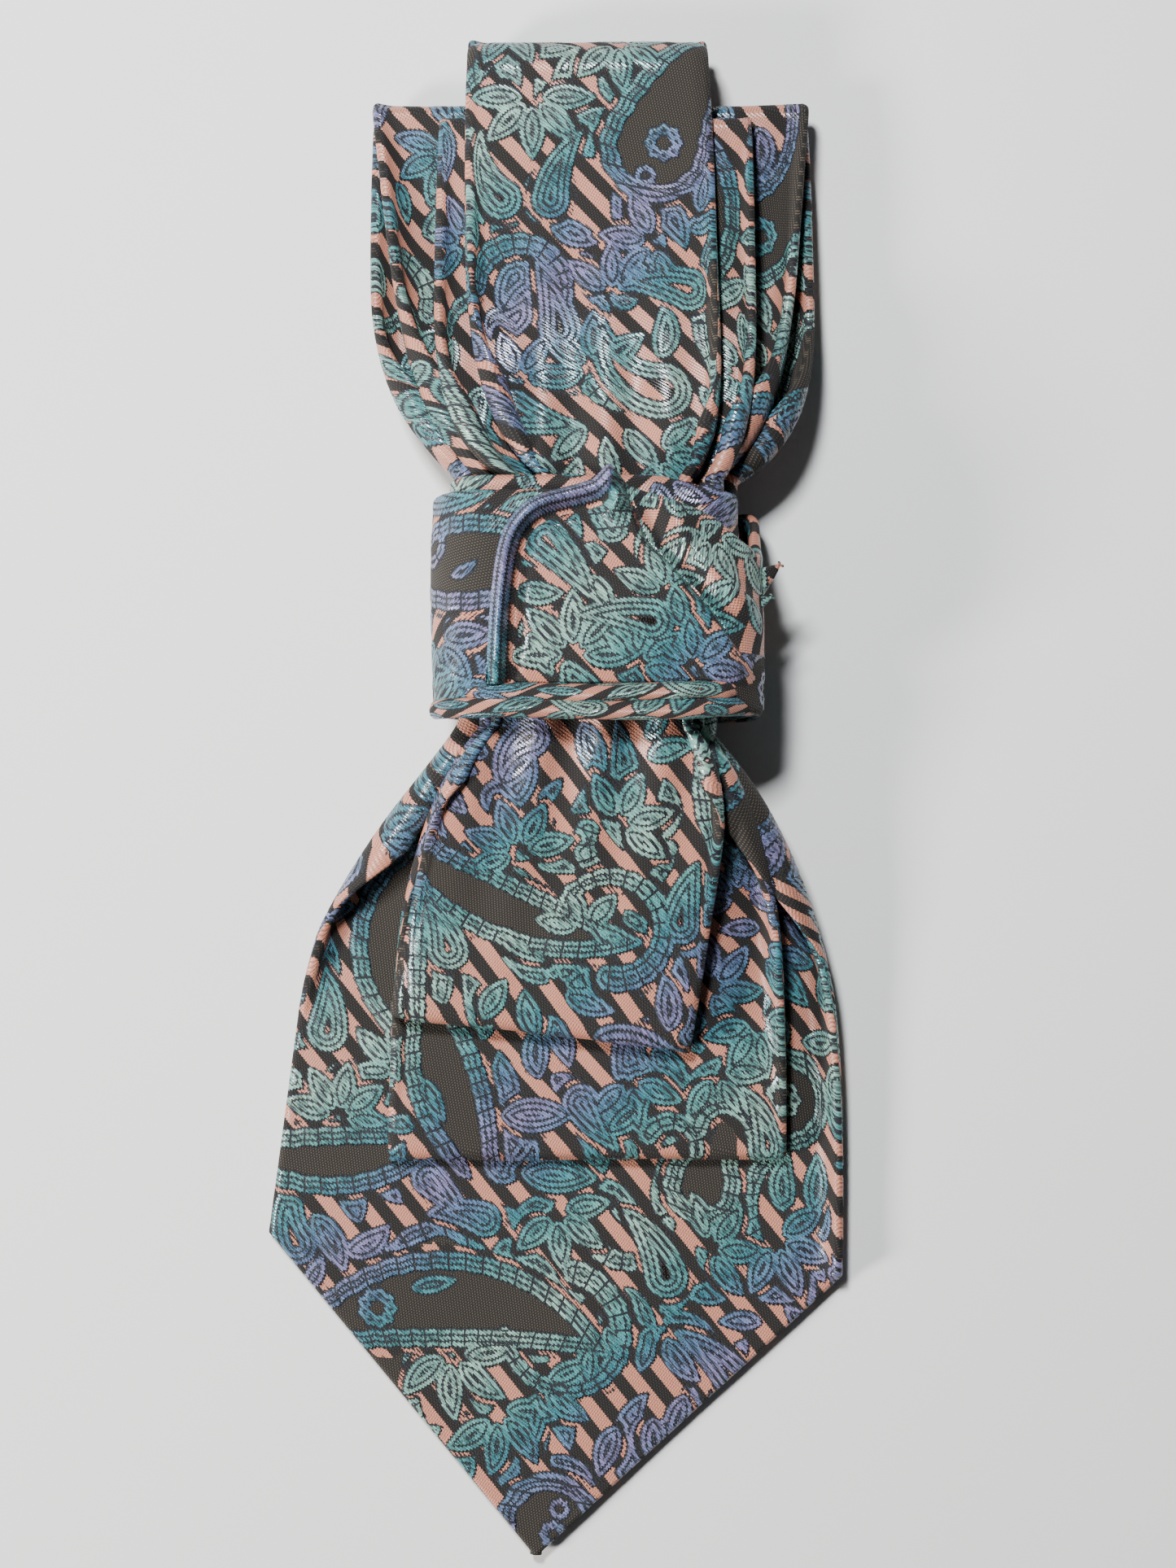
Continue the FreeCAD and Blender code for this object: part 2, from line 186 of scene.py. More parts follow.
def drawn_shape(x, y, motif):
    """Signed distance to one woven motif, negative inside, and the distance run along it.

    Each motif is a round-ended stroke: an arc that starts at a point with a heading, turns evenly
    over its length, and has a half width that changes along it. The distance is how far a point is
    from the arc, less the half width at the nearest place on it. A leaf is widest in its middle, a
    sickle too but blunt, a scroll narrows evenly with a waved edge, and a drop or a paisley is
    widest at its start and ends in a point.
    """
    kind, x0, y0, heading, length, head, bend = motif
    u0, v0 = x - x0, y - y0
    if kind == "ring":
        radius = np.hypot(u0, v0)
        around = np.arctan2(v0, u0)
        wave = 0.5 + 0.5 * np.cos(bend * around)
        return np.abs(radius - 0.66 * head) - head * (0.22 + 0.16 * wave), around * head
    angle = math.radians(heading)
    u = u0 * math.cos(angle) + v0 * math.sin(angle)
    v = (v0 * math.cos(angle) - u0 * math.sin(angle)) * (1 if bend >= 0 else -1)
    turn = math.radians(max(abs(bend), 0.5))
    radius = length / turn
    past_half = (turn - 2 * np.pi) / 2
    around = np.arctan2(u, radius - v)
    around = np.where(around < past_half, around + 2 * np.pi, around)
    along = radius * around
    off = radius - np.hypot(u, radius - v)
    share = np.clip(along / length, 0, 1)
    if kind == "leaf":
        width = head * np.sin(np.pi * share ** 0.8) ** 0.75
    elif kind == "sickle":
        width = head * np.sin(np.pi * (0.08 + 0.9 * share)) ** 0.8
    elif kind == "scroll":
        width = head * (1 - 0.45 * share) + 0.25 * np.abs(np.sin(np.pi * along / 2.5))
    else:
        width = head * (1 - share) ** 0.72 * (1 + 0.25 * share)
    if kind in ("paisley", "sickle"):
        width = width + 0.45 * np.abs(np.sin(np.pi * along / 3.6)) * (1 - share)
    end_u, end_v = radius * math.sin(turn), radius * (1 - math.cos(turn))
    to_arc = np.where(along > length, np.hypot(u - end_u, v - end_v), np.abs(off))
    to_arc = np.where(along < 0, np.hypot(u, v), to_arc)
    return to_arc - width, along


PAISLEY_BORDER = 3.0


def woven_fields(x, y, motifs):
    """How deep each point is in a motif, in mm, and what the motif is.

    The four columns are the depth under the motif's edge (negative outside every motif), how far
    inside a paisley's dark field, 1 on a paisley's border and 0 elsewhere, and the run along it.
    """
    fields = np.zeros((x.size, 4))
    fields[:, :2] = -20.0
    flat_x, flat_y = x.ravel(), y.ravel()
    for motif in motifs:
        kind, x0, y0, _, length, head, _ = motif
        near = np.flatnonzero((flat_x - x0) ** 2 + (flat_y - y0) ** 2 < (length + head + 3) ** 2)
        away, along = drawn_shape(flat_x[near], flat_y[near], motif)
        bordered = kind in ("paisley", "sickle")
        inside = -away
        if bordered:
            half = PAISLEY_BORDER / 2
            inside = half - np.abs(-away - half)
            fields[near, 1] = np.maximum(fields[near, 1], -away - 2 * half)
            covered = near[-away > 2 * half]
            fields[covered, 0] = np.minimum(fields[covered, 0], 0.0)
        nearer = inside > fields[near, 0]
        chosen = near[nearer]
        fields[chosen, 0] = inside[nearer]
        fields[chosen, 2] = float(bordered or kind == "scroll")
        fields[chosen, 3] = along[nearer]
    return fields.reshape(*x.shape, 4)


REPEAT = (56.0, 64.0)
REPEAT_UNIT = (
    [paisley(-12, 9, 205, 36, 8.4, 130), ring(-12, 9, 3.4), scroll(12, 22, 250, 24, 1.8, 200)]
    + spray(7, -5, 60, 5, 170, 8.5, 2.1, 20) + spray(-19, -22, 100, 5, 200, 8.0, 2.0, -25)
    + [drop(20, -20, 120, 13, 3.6, -80), drop(-2, 27, 20, 10, 3.2, 70), drop(3, -27, 200, 11, 3.3, 90)]
    + spray(23, 4, 330, 4, 150, 8, 2.0) + spray(-24, 27, 10, 4, 150, 8, 2.0, 30)
)


def grown(unit, tries, seed):
    """The repeat with leaves and drops added wherever one fits among those already there.

    Each try sets a leaf or a drop down anywhere and keeps it if less than an eighth of it is within
    half a millimetre of another motif.
    """
    wide, tall = REPEAT
    draw = np.random.default_rng(seed)
    x, y = np.meshgrid(np.arange(0, wide, 0.8), np.arange(0, tall, 0.8))

    def on_cell(motif):
        """How deep each point is in a motif of the repeat: columns of it, each half a repeat up."""
        kind, x0, y0, heading, length, head, bend = motif
        column = np.round((x - x0) / wide)
        across = x - x0 - column * wide
        up = y - y0 + 0.5 * tall * column
        up = up - np.round(up / tall) * tall
        return -drawn_shape(across, up, (kind, 0.0, 0.0, heading, length, head, bend))[0]

    taken = np.full(x.shape, -20.0)
    for motif in unit:
        taken = np.maximum(taken, on_cell(motif))
    added = []
    for step in range(tries):
        x0, y0, heading, size, bend = draw.random(5) * (wide, tall, 360, 1, 120) - (0, 0, 0, 0, 60)
        small = 1.0 if step < 0.6 * tries else 0.72
        if step % 3 == 0:
            motif = drop(x0, y0, heading, small * (9.5 + 3 * size), small * (3.0 + 0.7 * size), bend)
        else:
            motif = leaf(x0, y0, heading, small * (8 + 3 * size), small * (1.9 + 0.6 * size), bend)
        depth = on_cell(motif)
        inside = depth > 0
        if np.mean(taken[inside] > -0.5) < 0.12:
            added.append(motif)
            taken = np.maximum(taken, depth)
    return list(unit) + added


REPEAT_UNIT = grown(REPEAT_UNIT, 900, 12)


def repeated_fields(p, q):
    """The same fields for cloth that carries the woven repeat: every other column drops half way."""
    wide, tall = REPEAT
    column = np.round(p / wide)
    x = p - column * wide
    y = q + 0.5 * tall * column
    y = y - np.round(y / tall) * tall
    motifs = []
    for across in (-1, 0, 1):
        for up in (-1, 0, 1):
            shift_x = across * wide
            shift_y = (up + 0.5 * across) * tall
            for kind, x0, y0, heading, length, head, bend in REPEAT_UNIT:
                near_x, near_y, reach = x0 + shift_x, y0 + shift_y, length + head
                if abs(near_x) < wide * 0.5 + reach and abs(near_y) < tall * 0.5 + reach:
                    motifs.append((kind, near_x, near_y, heading, length, head, bend))
    return woven_fields(x, y, motifs)


FILL_SHIFT = (13.0, -9.0)
FILL_GAP = 0.9            # ground left between a figure and the repeat round it


def filled_fields(x, y, motifs):
    """The given motifs, with the woven repeat showing wherever they leave room for it."""
    own = woven_fields(x, y, motifs)
    fill = repeated_fields(x + FILL_SHIFT[0], y + FILL_SHIFT[1])
    room = -own[..., 0] - FILL_GAP
    inside = own[..., 1] > -PAISLEY_BORDER
    fill[..., 0] = np.where(inside, -20.0, np.minimum(fill[..., 0], room))
    fill[..., 1] = np.where(inside, -20.0, np.minimum(fill[..., 1], room))
    use = (fill[..., 0] > own[..., 0]) | ((fill[..., 1] > -0.5) & (room > 0.5))
    return np.where(use[..., None], fill, own)


def silk_material():
    """Jacquard silk: satin and twill stripes under paisley figures in shaded threads.

    Attribute cloth holds the place on the cloth in mm and how far on its shading is, and attribute
    figure the woven fields.
    """
    material = bpy.data.materials.new("jacquard_silk")
    material.use_nodes = True
    tree = material.node_tree
    shader = tree.nodes["Principled BSDF"]

    def plug(target, value):
        """Feeds an input with another node's output or a number."""
        if hasattr(value, "is_linked"):
            tree.links.new(value, target)
        else:
            target.default_value = value

    def sum_up(operation, a, b=0.0, c=0.0):
        """One step of arithmetic on up to three values."""
        node = tree.nodes.new("ShaderNodeMath")
        node.operation = operation
        for socket, value in zip(node.inputs, (a, b, c)):
            plug(socket, value)
        return node.outputs[0]

    def smooth(value, low, high):
        """3 t^2 - 2 t^3, where t goes from 0 to 1 as the value goes from low to high."""
        node = tree.nodes.new("ShaderNodeMapRange")
        node.interpolation_type = "SMOOTHSTEP"
        plug(node.inputs["Value"], value)
        node.inputs["From Min"].default_value = low
        node.inputs["From Max"].default_value = high
        return node.outputs["Result"]

    def blend(amount, a, b):
        """(1 - amount) a + amount b, for colours."""
        node = tree.nodes.new("ShaderNodeMix")
        node.data_type = "RGBA"
        plug(node.inputs[0], amount)
        plug(node.inputs[6], a)
        plug(node.inputs[7], b)
        return node.outputs[2]

    def wave(value, repeat):
        """0 to 1 to 0 over each repeat."""
        return sum_up("PINGPONG", sum_up("DIVIDE", value, repeat / 2), 1.0)

    def read(name):
        """One of the mesh's attributes."""
        node = tree.nodes.new("ShaderNodeAttribute")
        node.attribute_name = name
        return node

    cloth = read("cloth")
    place = tree.nodes.new("ShaderNodeSeparateXYZ")
    tree.links.new(cloth.outputs["Vector"], place.inputs[0])
    p, q, shaded_on = place.outputs[0], place.outputs[1], place.outputs[2]
    figure = read("figure")
    split = tree.nodes.new("ShaderNodeSeparateColor")
    tree.links.new(figure.outputs["Color"], split.inputs[0])
    depth_even, field, border = split.outputs[0], split.outputs[1], split.outputs[2]
    run = figure.outputs["Alpha"]

    tilt = math.radians(STRIPE_TILT)
    across = sum_up("ADD", sum_up("MULTIPLY", p, math.sin(tilt)), sum_up("MULTIPLY", q, math.cos(tilt)))
    down = sum_up("SUBTRACT", sum_up("MULTIPLY", p, math.cos(tilt)), sum_up("MULTIPLY", q, math.sin(tilt)))

    # The threads: the float edges are toothed, and nothing in a hand-set loom is quite even.
    stray = tree.nodes.new("ShaderNodeTexNoise")
    flat_place = tree.nodes.new("ShaderNodeCombineXYZ")
    plug(flat_place.inputs[0], p)
    plug(flat_place.inputs[1], q)
    plug(stray.inputs["Vector"], flat_place.outputs[0])
    stray.inputs["Scale"].default_value = 1.7
    stray.inputs["Detail"].default_value = 2.0
    stray_even = sum_up("SUBTRACT", stray.outputs["Fac"], 0.5)
    tooth = sum_up("SUBTRACT", wave(across, 0.52), 0.5)
    ragged = sum_up("ADD", sum_up("MULTIPLY", tooth, 0.30), sum_up("MULTIPLY", stray_even, 0.3))
    depth = sum_up("ADD", depth_even, ragged)

    # Stripes: pink satin and dark twill.
    stripe = sum_up("SUBTRACT", sum_up("PINGPONG", sum_up("ADD", across, 400.0), STRIPE_REPEAT / 2), 1.02)
    stripe = sum_up("ADD", stripe, sum_up("MULTIPLY", sum_up("SUBTRACT", wave(down, 0.5), 0.5), 0.16))
    pink_mask = smooth(stripe, -0.03, 0.05)
    satin = wave(sum_up("ADD", down, sum_up("MULTIPLY", across, 0.3)), 0.42)
    pink = blend(satin, (*SATIN_SHADE, 1), (*SATIN_LIGHT, 1))
    twill_u = wave(sum_up("ADD", across, sum_up("MULTIPLY", down, 0.6)), 0.50)
    twill_v = wave(down, 0.36)
    fleck = smooth(sum_up("MULTIPLY", twill_u, twill_v), 0.30, 0.62)
    dark = blend(fleck, (*TWILL_SHADE, 1), (*TWILL_LIGHT, 1))
    ground = blend(pink_mask, dark, pink)
    in_field = smooth(field, -0.05, 0.05)
    ground = blend(in_field, ground, blend(fleck, (*FIELD_SHADE, 1), (*FIELD_LIGHT, 1)))
    pink_mask = sum_up("MULTIPLY", pink_mask, sum_up("SUBTRACT", 1.0, in_field))

    # Figures: shaded threads that turn from lilac through blue and teal to mint along the stripes.
    shaded = sum_up("DIVIDE", sum_up("ADD", down, shaded_on), OMBRE_REPEAT / 2)
    shade = sum_up("ADD", sum_up("PINGPONG", sum_up("ADD", shaded, 40.0), 1.0),
                   sum_up("MULTIPLY", stray_even, 0.35))
    ombre = tree.nodes.new("ShaderNodeValToRGB")
    plug(ombre.inputs[0], shade)
    while len(ombre.color_ramp.elements) < len(SHADED_THREADS):
        ombre.color_ramp.elements.new(0.5)
    for element, (position, colour) in zip(ombre.color_ramp.elements, SHADED_THREADS):
        element.position = position
        element.color = (*colour, 1)
    float_wave = wave(sum_up("ADD", across, sum_up("MULTIPLY", down, -0.25)), 0.46)
    drift = tree.nodes.new("ShaderNodeTexNoise")
    plug(drift.inputs["Vector"], flat_place.outputs[0])
    drift.inputs["Scale"].default_value = 0.22
    uneven = sum_up("MULTIPLY", smooth(drift.outputs["Fac"], 0.35, 0.65), 0.20)
    streaky = tree.nodes.new("ShaderNodeTexNoise")
    streak_place = tree.nodes.new("ShaderNodeCombineXYZ")
    plug(streak_place.inputs[0], sum_up("MULTIPLY", across, 1.6))
    plug(streak_place.inputs[1], sum_up("MULTIPLY", down, 0.30))
    plug(streaky.inputs["Vector"], streak_place.outputs[0])
    streaky.inputs["Scale"].default_value = 1.0
    streaky.inputs["Detail"].default_value = 1.0
    uneven = sum_up("ADD", uneven, sum_up("MULTIPLY", smooth(streaky.outputs["Fac"], 0.36, 0.66), 0.42))
    shaded_float = sum_up("ADD", sum_up("MULTIPLY", float_wave, 0.38), uneven)
    threads = blend(shaded_float, ombre.outputs["Color"], (*FLOAT_SHADE, 1))
    figure_mask = smooth(depth, -0.04, 0.06)
    colour = blend(figure_mask, ground, threads)

    # Dark lines: round each figure and again at every further millimetre inside it, three times.
    # A woven border has cross lines too, and inside the last line the ground shows again.
    line_gap, last_line, tick_gap = 1.0, 3.0, 2.5
    off_line = sum_up("PINGPONG", sum_up("ADD", depth, line_gap * 8), line_gap / 2)
    outline = sum_up("SUBTRACT", 1.0, smooth(off_line, 0.12, 0.22))
    outline = sum_up("MULTIPLY", outline, smooth(depth, -0.40, -0.30))
    tick = sum_up("SUBTRACT", 1.0, smooth(sum_up("PINGPONG", run, tick_gap / 2), 0.10, 0.20))
    tick = sum_up("MULTIPLY", sum_up("MULTIPLY", tick, sum_up("GREATER_THAN", border, 0.5)), figure_mask)
    outline = sum_up("MAXIMUM", outline, tick)
    hole = smooth(depth, last_line + 0.02, last_line + 0.12)
    hole = sum_up("MULTIPLY", hole, sum_up("LESS_THAN", border, 0.5))
    colour = blend(hole, colour, ground)
    past_last = smooth(depth, last_line + 0.25, last_line + 0.35)
    line = sum_up("MULTIPLY", outline, sum_up("SUBTRACT", 1.0, past_last))
    colour = blend(line, colour, (*LINE_COLOUR, 1))
    tree.links.new(colour, shader.inputs["Base Color"])

    # The satin floats and figures stand up from the twill, and the outlines are sunk.
    raised = sum_up("ADD", sum_up("MULTIPLY", sum_up("SUBTRACT", figure_mask, hole), 0.55),
                    sum_up("MULTIPLY", pink_mask, 0.30))
    raised = sum_up("SUBTRACT", raised, sum_up("MULTIPLY", line, 0.55))
    raised = sum_up("ADD", raised, sum_up("MULTIPLY", float_wave, 0.16))
    raised = sum_up("ADD", raised, sum_up("MULTIPLY", fleck, 0.14))
    bump = tree.nodes.new("ShaderNodeBump")
    bump.inputs["Strength"].default_value = 1.0
    bump.inputs["Distance"].default_value = 0.00034
    plug(bump.inputs["Height"], raised)
    tree.links.new(bump.outputs[0], shader.inputs["Normal"])
    shine = sum_up("MAXIMUM", sum_up("MULTIPLY", pink_mask, 0.8), sum_up("SUBTRACT", figure_mask, line))
    rough = tree.nodes.new("ShaderNodeMapRange")
    plug(rough.inputs["Value"], shine)
    rough.inputs["To Min"].default_value = 0.92
    rough.inputs["To Max"].default_value = 0.22
    tree.links.new(rough.outputs["Result"], shader.inputs["Roughness"])
    shader.inputs["Specular IOR Level"].default_value = 0.50
    shader.inputs["Sheen Weight"].default_value = 0.02
    shader.inputs["Sheen Roughness"].default_value = 0.35
    shader.inputs["Sheen Tint"].default_value = (0.80, 0.88, 1.0, 1)
    return material


silk = silk_material()


def round_section(steps_top, steps_bottom):
    """Places round a flat tube: the share across from -1 to 1, and the unit offsets of its edges.

    It starts at the seam in the middle of the back, goes left under the tube, round the left
    edge, over the top, round the right edge and back to the seam.
    """
    turn = np.linspace(-np.pi / 2, -3 * np.pi / 2, EDGE_STEPS + 2)[1:-1]
    left = np.linspace(-0.004, -1, steps_bottom)
    top = np.linspace(-1, 1, steps_top)
    share = np.concatenate([left, np.full(EDGE_STEPS, -1.0), top, np.full(EDGE_STEPS, 1.0), -left[::-1]])
    still, under, over = np.zeros(steps_bottom), -np.ones(steps_bottom), np.ones(steps_top)
    out = np.concatenate([still, np.cos(turn), 0 * over, -np.cos(turn)[::-1], still])
    up = np.concatenate([under, np.sin(turn), over, np.sin(turn)[::-1], under])
    return share, out, up


def curl(spare, radius):
    """The angle of an arc that uses up spare width: angle - sin(angle) = spare / radius at first.

    Once the arc stands upright it turns on by spare / radius + 1, until its edge is tucked in.
    """
    use = np.clip(spare / radius, 0, None)
    angle = np.minimum(np.cbrt(6 * use), np.pi / 2)
    for _ in range(4):
        angle = angle - (angle - np.sin(angle) - use) / np.maximum(1 - np.cos(angle), 1e-4)
    angle = np.clip(angle, 0, np.pi / 2)
    return np.where(use > np.pi / 2 - 1, np.minimum(1 + use, 1.36 * np.pi), angle)


def across_curve(s, n, width, reach_left, reach_right, radius, lifted):
    """The bent cross-section: flat in the middle, rolled up at each side to fit its reach.

    s is the distance across the cloth and n the height over its middle plane. lifted is 1 where
    the sides roll towards positive n, and -1 where they roll away from it. Returns the sideways
    and upward place of each point.
    """
    reach = np.where(s < 0, reach_left, reach_right)
    reach = np.minimum(reach, width)
    angle = curl(width - reach, radius)
    flat = reach - radius * np.sin(np.minimum(angle, np.pi / 2))
    past = np.abs(s) - flat
    bent = np.clip(past / radius, 0, angle)
    over = np.clip(past - radius * angle, 0, None)
    out = np.minimum(np.abs(s), flat) + radius * np.sin(bent) + over * np.cos(bent)
    out = out - lifted * n * np.sin(bent)
    up = lifted * (radius * (1 - np.cos(bent)) + over * np.sin(bent)) + n * np.cos(bent)
    return np.sign(s) * out, up


def closed_tube(name, points, cloth, figure, material):
    """A mesh from a grid of points, rings (first index) along and places (second) around.

    Neighbouring rings are joined by quads and each end is closed by a fan about its middle.
    cloth and figure are stored on the points, for the material.
    """
    rings, around = points.shape[:2]
    flat_points = points.reshape(-1, 3)
    middles = points[[0, -1]].mean(axis=1)
    all_points = np.concatenate([flat_points, middles]) * MM
    index = np.arange(rings * around).reshape(rings, around)
    corner = points[:-1, :, :]
    ahead, aside = points[1:] - corner, np.roll(corner, -1, axis=1) - corner
    if np.einsum("ijk,ijk->", corner - points.mean(axis=(0, 1)), np.cross(ahead, aside)) < 0:
        index = index[:, ::-1]
    here, there = index[:-1], index[1:]
    quads = np.stack([here, there, np.roll(there, -1, axis=1), np.roll(here, -1, axis=1)], axis=-1)
    quads = quads.reshape(-1, 4)
    first, last = rings * around, rings * around + 1
    start = np.stack([index[0], np.roll(index[0], -1), np.full(around, first)], axis=-1)
    end = np.stack([np.roll(index[-1], -1), index[-1], np.full(around, last)], axis=-1)
    mesh = bpy.data.meshes.new(name)
    mesh.vertices.add(len(all_points))
    mesh.vertices.foreach_set("co", all_points.astype(np.float32).ravel())
    corners = np.concatenate([quads.ravel(), start.ravel(), end.ravel()])
    sizes = np.concatenate([np.full(len(quads), 4), np.full(2 * around, 3)])
    mesh.loops.add(len(corners))
    mesh.loops.foreach_set("vertex_index", corners.astype(np.int32))
    mesh.polygons.add(len(sizes))
    mesh.polygons.foreach_set("loop_start", np.concatenate([[0], np.cumsum(sizes)[:-1]]).astype(np.int32))
    mesh.update(calc_edges=True)
    mesh.polygons.foreach_set("use_smooth", np.ones(len(sizes), dtype=bool))
    ends = [0, (rings - 1) * around]
    for attribute, kind, values in (("cloth", "FLOAT_VECTOR", cloth), ("figure", "FLOAT_COLOR", figure)):
        rows = values.reshape(-1, values.shape[-1])
        rows = np.concatenate([rows, rows[ends]]).astype(np.float32)
        layer = mesh.attributes.new(attribute, kind, "POINT")
        layer.data.foreach_set("vector" if kind == "FLOAT_VECTOR" else "color", rows.ravel())
    mesh.materials.append(material)
    piece = bpy.data.objects.new(name, mesh)
    bpy.context.collection.objects.link(piece)
    return piece


def soft(x, y, seed, size):
    """Gentle unevenness: three sine waves of different lengths and directions, from -1 to 1."""
    waves = 0
    for count, start in enumerate((0.7, 2.9, 4.4)):
        turn = start + seed
        across = x * math.cos(turn) + y * math.sin(turn)
        waves = waves + np.sin(across * (1 + 0.45 * count) / size + 5 * turn)
    return waves / 3


def run_of_cloth(name, line, width, reach_left, reach_right, roll, layout, steps, shade, seed=0.4, puff=0.40,
                 pleat=0.9, droop=0.5, after=None):
    """One length of the tie: a flat tube carried along a line.

    line holds, for each station, the sideways place, the lengthwise place, the height, the heading
    in plan, the distance from the mouth, the place on the cloth, and 1 where its face is up or -1
    where it is down. The tube stands square to the line. The cross-section is across_curve, so its
    sides roll up where they have less reach than width. Small waves leave the surface uneven, the
    edges droop a little, and nothing sinks under the table.
    """
    middle_x, middle_y, height, heading, distance, place, face = (values[:, None] for values in line)
    width, reach_left, reach_right, roll = (
        np.broadcast_to(values, distance.shape[0])[:, None]
        for values in (width, reach_left, reach_right, roll))
    share, out, up = round_section(*steps)
    half = PLY / 2
    room = np.minimum(np.maximum(reach_left, reach_right), width)
    width = np.minimum(width, room + 3.2 * roll)
    s = share * (width - half) + out * half
    n = up * half * np.ones_like(s)
    x, h = across_curve(s, n, width, reach_left, reach_right, roll, face)
    along_y, along_z = np.gradient(middle_y[:, 0])[:, None], np.gradient(height[:, 0])[:, None]
    size = np.hypot(along_y, along_z) * np.sign(-along_y[0, 0] * face[0, 0])
    normal_y, normal_z = along_z / size, -along_y / size
    back = np.broadcast_to(up < -0.5, s.shape)
    p = np.where(back, np.sign(share) * 2 * width - s, s)
    figure = layout(p + np.where(back, 0, middle_x), place + 0 * p, back)
    near = np.exp(-np.clip(distance, 0, None) / 16.0)
    h = h + 0.10 * np.clip(figure[..., 0] / 0.5, 0, 1) * up
    h = h + np.where(back, 0.45 * np.exp(-(s / 0.8) ** 2), 0)
    h = h + face * puff * soft(s + middle_x, distance * 0.8, seed, 9.0)
    h = h - face * droop * np.exp(-((width - np.abs(s)) / 1.8) ** 2)
    h = h + face * pleat * near * np.sin(s * 0.62 + 0.4) * np.clip(1 - np.abs(share) ** 4, 0, 1)
    points = np.stack([
        middle_x + x * np.cos(heading),
        middle_y + x * np.sin(heading) + h * normal_y,
        height + h * normal_z], axis=-1)
    if after is not None:
        points = after(points, s, distance)
    points[..., 2] = np.maximum(points[..., 2], 0.05 + 0.10 * (up > -0.5))
    cloth = np.stack([p, place + 0 * p, np.full_like(p, shade)], axis=-1)
    return closed_tube(name, points, cloth, figure, silk)


def spread(distance, mouth, end, length, power=1.0):
    """Reach at a distance from the mouth: end - (end - mouth) * e ^ -((distance / length) ^ power)."""
    return end - (end - mouth) * np.exp(-(np.clip(distance, 0, None) / length) ** power)


def drop_down(distance, top, bottom, length):
    """Height that falls along half a cosine from the mouth's level to the table's."""
    share = np.clip(distance / length, 0, 1)
    return bottom + (top - bottom) * (0.5 + 0.5 * np.cos(np.pi * share))


def made_of_tie(name):
    """Hides the model's parts for one length of the tie, which the piece stands in for: its silk, its
    interlining and its slip stitch.
    """
    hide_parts(name + "_silk", name + "_interlining", name + "_slip_stitch")


hinge = {joint["name"]: joint for joint in frame["joints"]}
MOUTH_Y = hinge["blade_lift"]["pos_m"][1] / MM
STACK_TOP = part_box("gathered_silk")[1][2] / MM
STACK_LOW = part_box("gathered_silk")[0][2] / MM
PITCH = (STACK_TOP - STACK_LOW + 0.3) / 6
INSIDE = 9.0              # how far each run goes on inside the knot


def mouth_level(layer):
    """Height of a run's middle where it leaves the knot, the lowest run being layer 0."""
    return STACK_LOW + PLY / 2 + 0.05 + layer * PITCH


BLADE_TIP_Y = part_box("blade_silk")[0][1] / MM
BLADE_LENGTH = MOUTH_Y - BLADE_TIP_Y
BLADE_POINT = 49.5        # from the point to the corners
BLADE_HALF = 47.6         # half width at the corners
BLADE_LEAN = -4.0

blade_figures = (
    [sickle(-47, -122, 34, 52, 7.6, -66), scroll(-3, -108.5, -12, 42, 1.9, -250), ring(-35.5, -116.5, 3.3, 9)]
    + [leaf(-30, -113, 14, 8, 1.5)]
    + spray(-23, -123, -75, 4, 150, 9.5, 2.2, 30) + spray(-16, -132, -60, 4, 140, 9, 2.2, -30)
    + spray(-9, -127, -40, 3, 120, 8.5, 2.1, 20)
    + [leaf(0, -120, -120, 8, 2.0, 60), leaf(2, -117, -60, 7, 1.9)]
    + [drop(24, -125, 128, 14, 3.7, 30), leaf(12, -118, -70, 9, 2.2, 40), leaf(15, -127, -100, 9, 2.2, -30)]
    + [leaf(10, -131, -95, 9, 2.3, 20), leaf(4, -133, -120, 9, 2.2, 20), leaf(17, -134, 160, 7, 2.0)]
    + [paisley(-7, -150, -95, 14, 8.6, 5), ring(-6.5, -151, 2.4), ring(-5.5, -146.8, 1.8)]
    + [sickle(-60, -92, -14, 38, 5.4, 44), drop(-27, -95, -38, 10, 3.1, -20)]
    + [drop(-18, -101, 160, 10, 3.0, 40)]
    + [leaf(-12, -93, 0, 13, 3.1), drop(12, -108, 105, 13, 3.7, 40), paisley(18, -93, 78, 16, 6.2, 30)]
    + spray(-6, -99, -60, 4, 150, 8, 2.1) + spray(19, -103, 20, 4, 160, 8, 2.1, 20)
    + spray(30, -101, -40, 4, 150, 8.5, 2.2)
    + [leaf(36, -96, 70, 10, 2.4, 30), drop(-44, -72, 80, 11, 3.5, 30)]
    + spray(-42, -86, 80, 5, 170, 8, 2.1)
)


def laid_out(figures):
    """A layout that puts the given figures on the face of the cloth and the repeat on its back."""
    def layout(x, y, back):
        """The woven fields at each point; back marks the points on the cloth's back."""
        rear = repeated_fields(x, y)
        if figures is None:
            return rear
        return np.where(back[..., None], rear, filled_fields(x, y, figures))
    return layout


def blade_line():
    """Straight out of the mouth, leaning a little to the left, and down onto the table."""
    distance = np.arange(-INSIDE, BLADE_LENGTH / math.cos(math.radians(BLADE_LEAN)) - 0.5, BLADE_STEP)
    lean = math.radians(BLADE_LEAN)
    y = MOUTH_Y - distance * math.cos(lean)
    x = distance * math.sin(lean)
    z = drop_down(distance, mouth_level(1), PLY / 2 + 0.55, 36.0)
    return x, y, z, np.full_like(distance, lean), distance, y, np.ones_like(distance)


def web_half(place_on_tie):
    """Half width of the finished tie at a distance from the blade's point, past its corners."""
    stations = (BLADE_POINT, 237.0, 409.0, 579.0, 730.0, 895.0, 980.0)
    halves = (BLADE_HALF, 36.4, 32.6, 25.8, 24.3, 19.9, 19.4)
    return np.interp(place_on_tie, stations, halves)


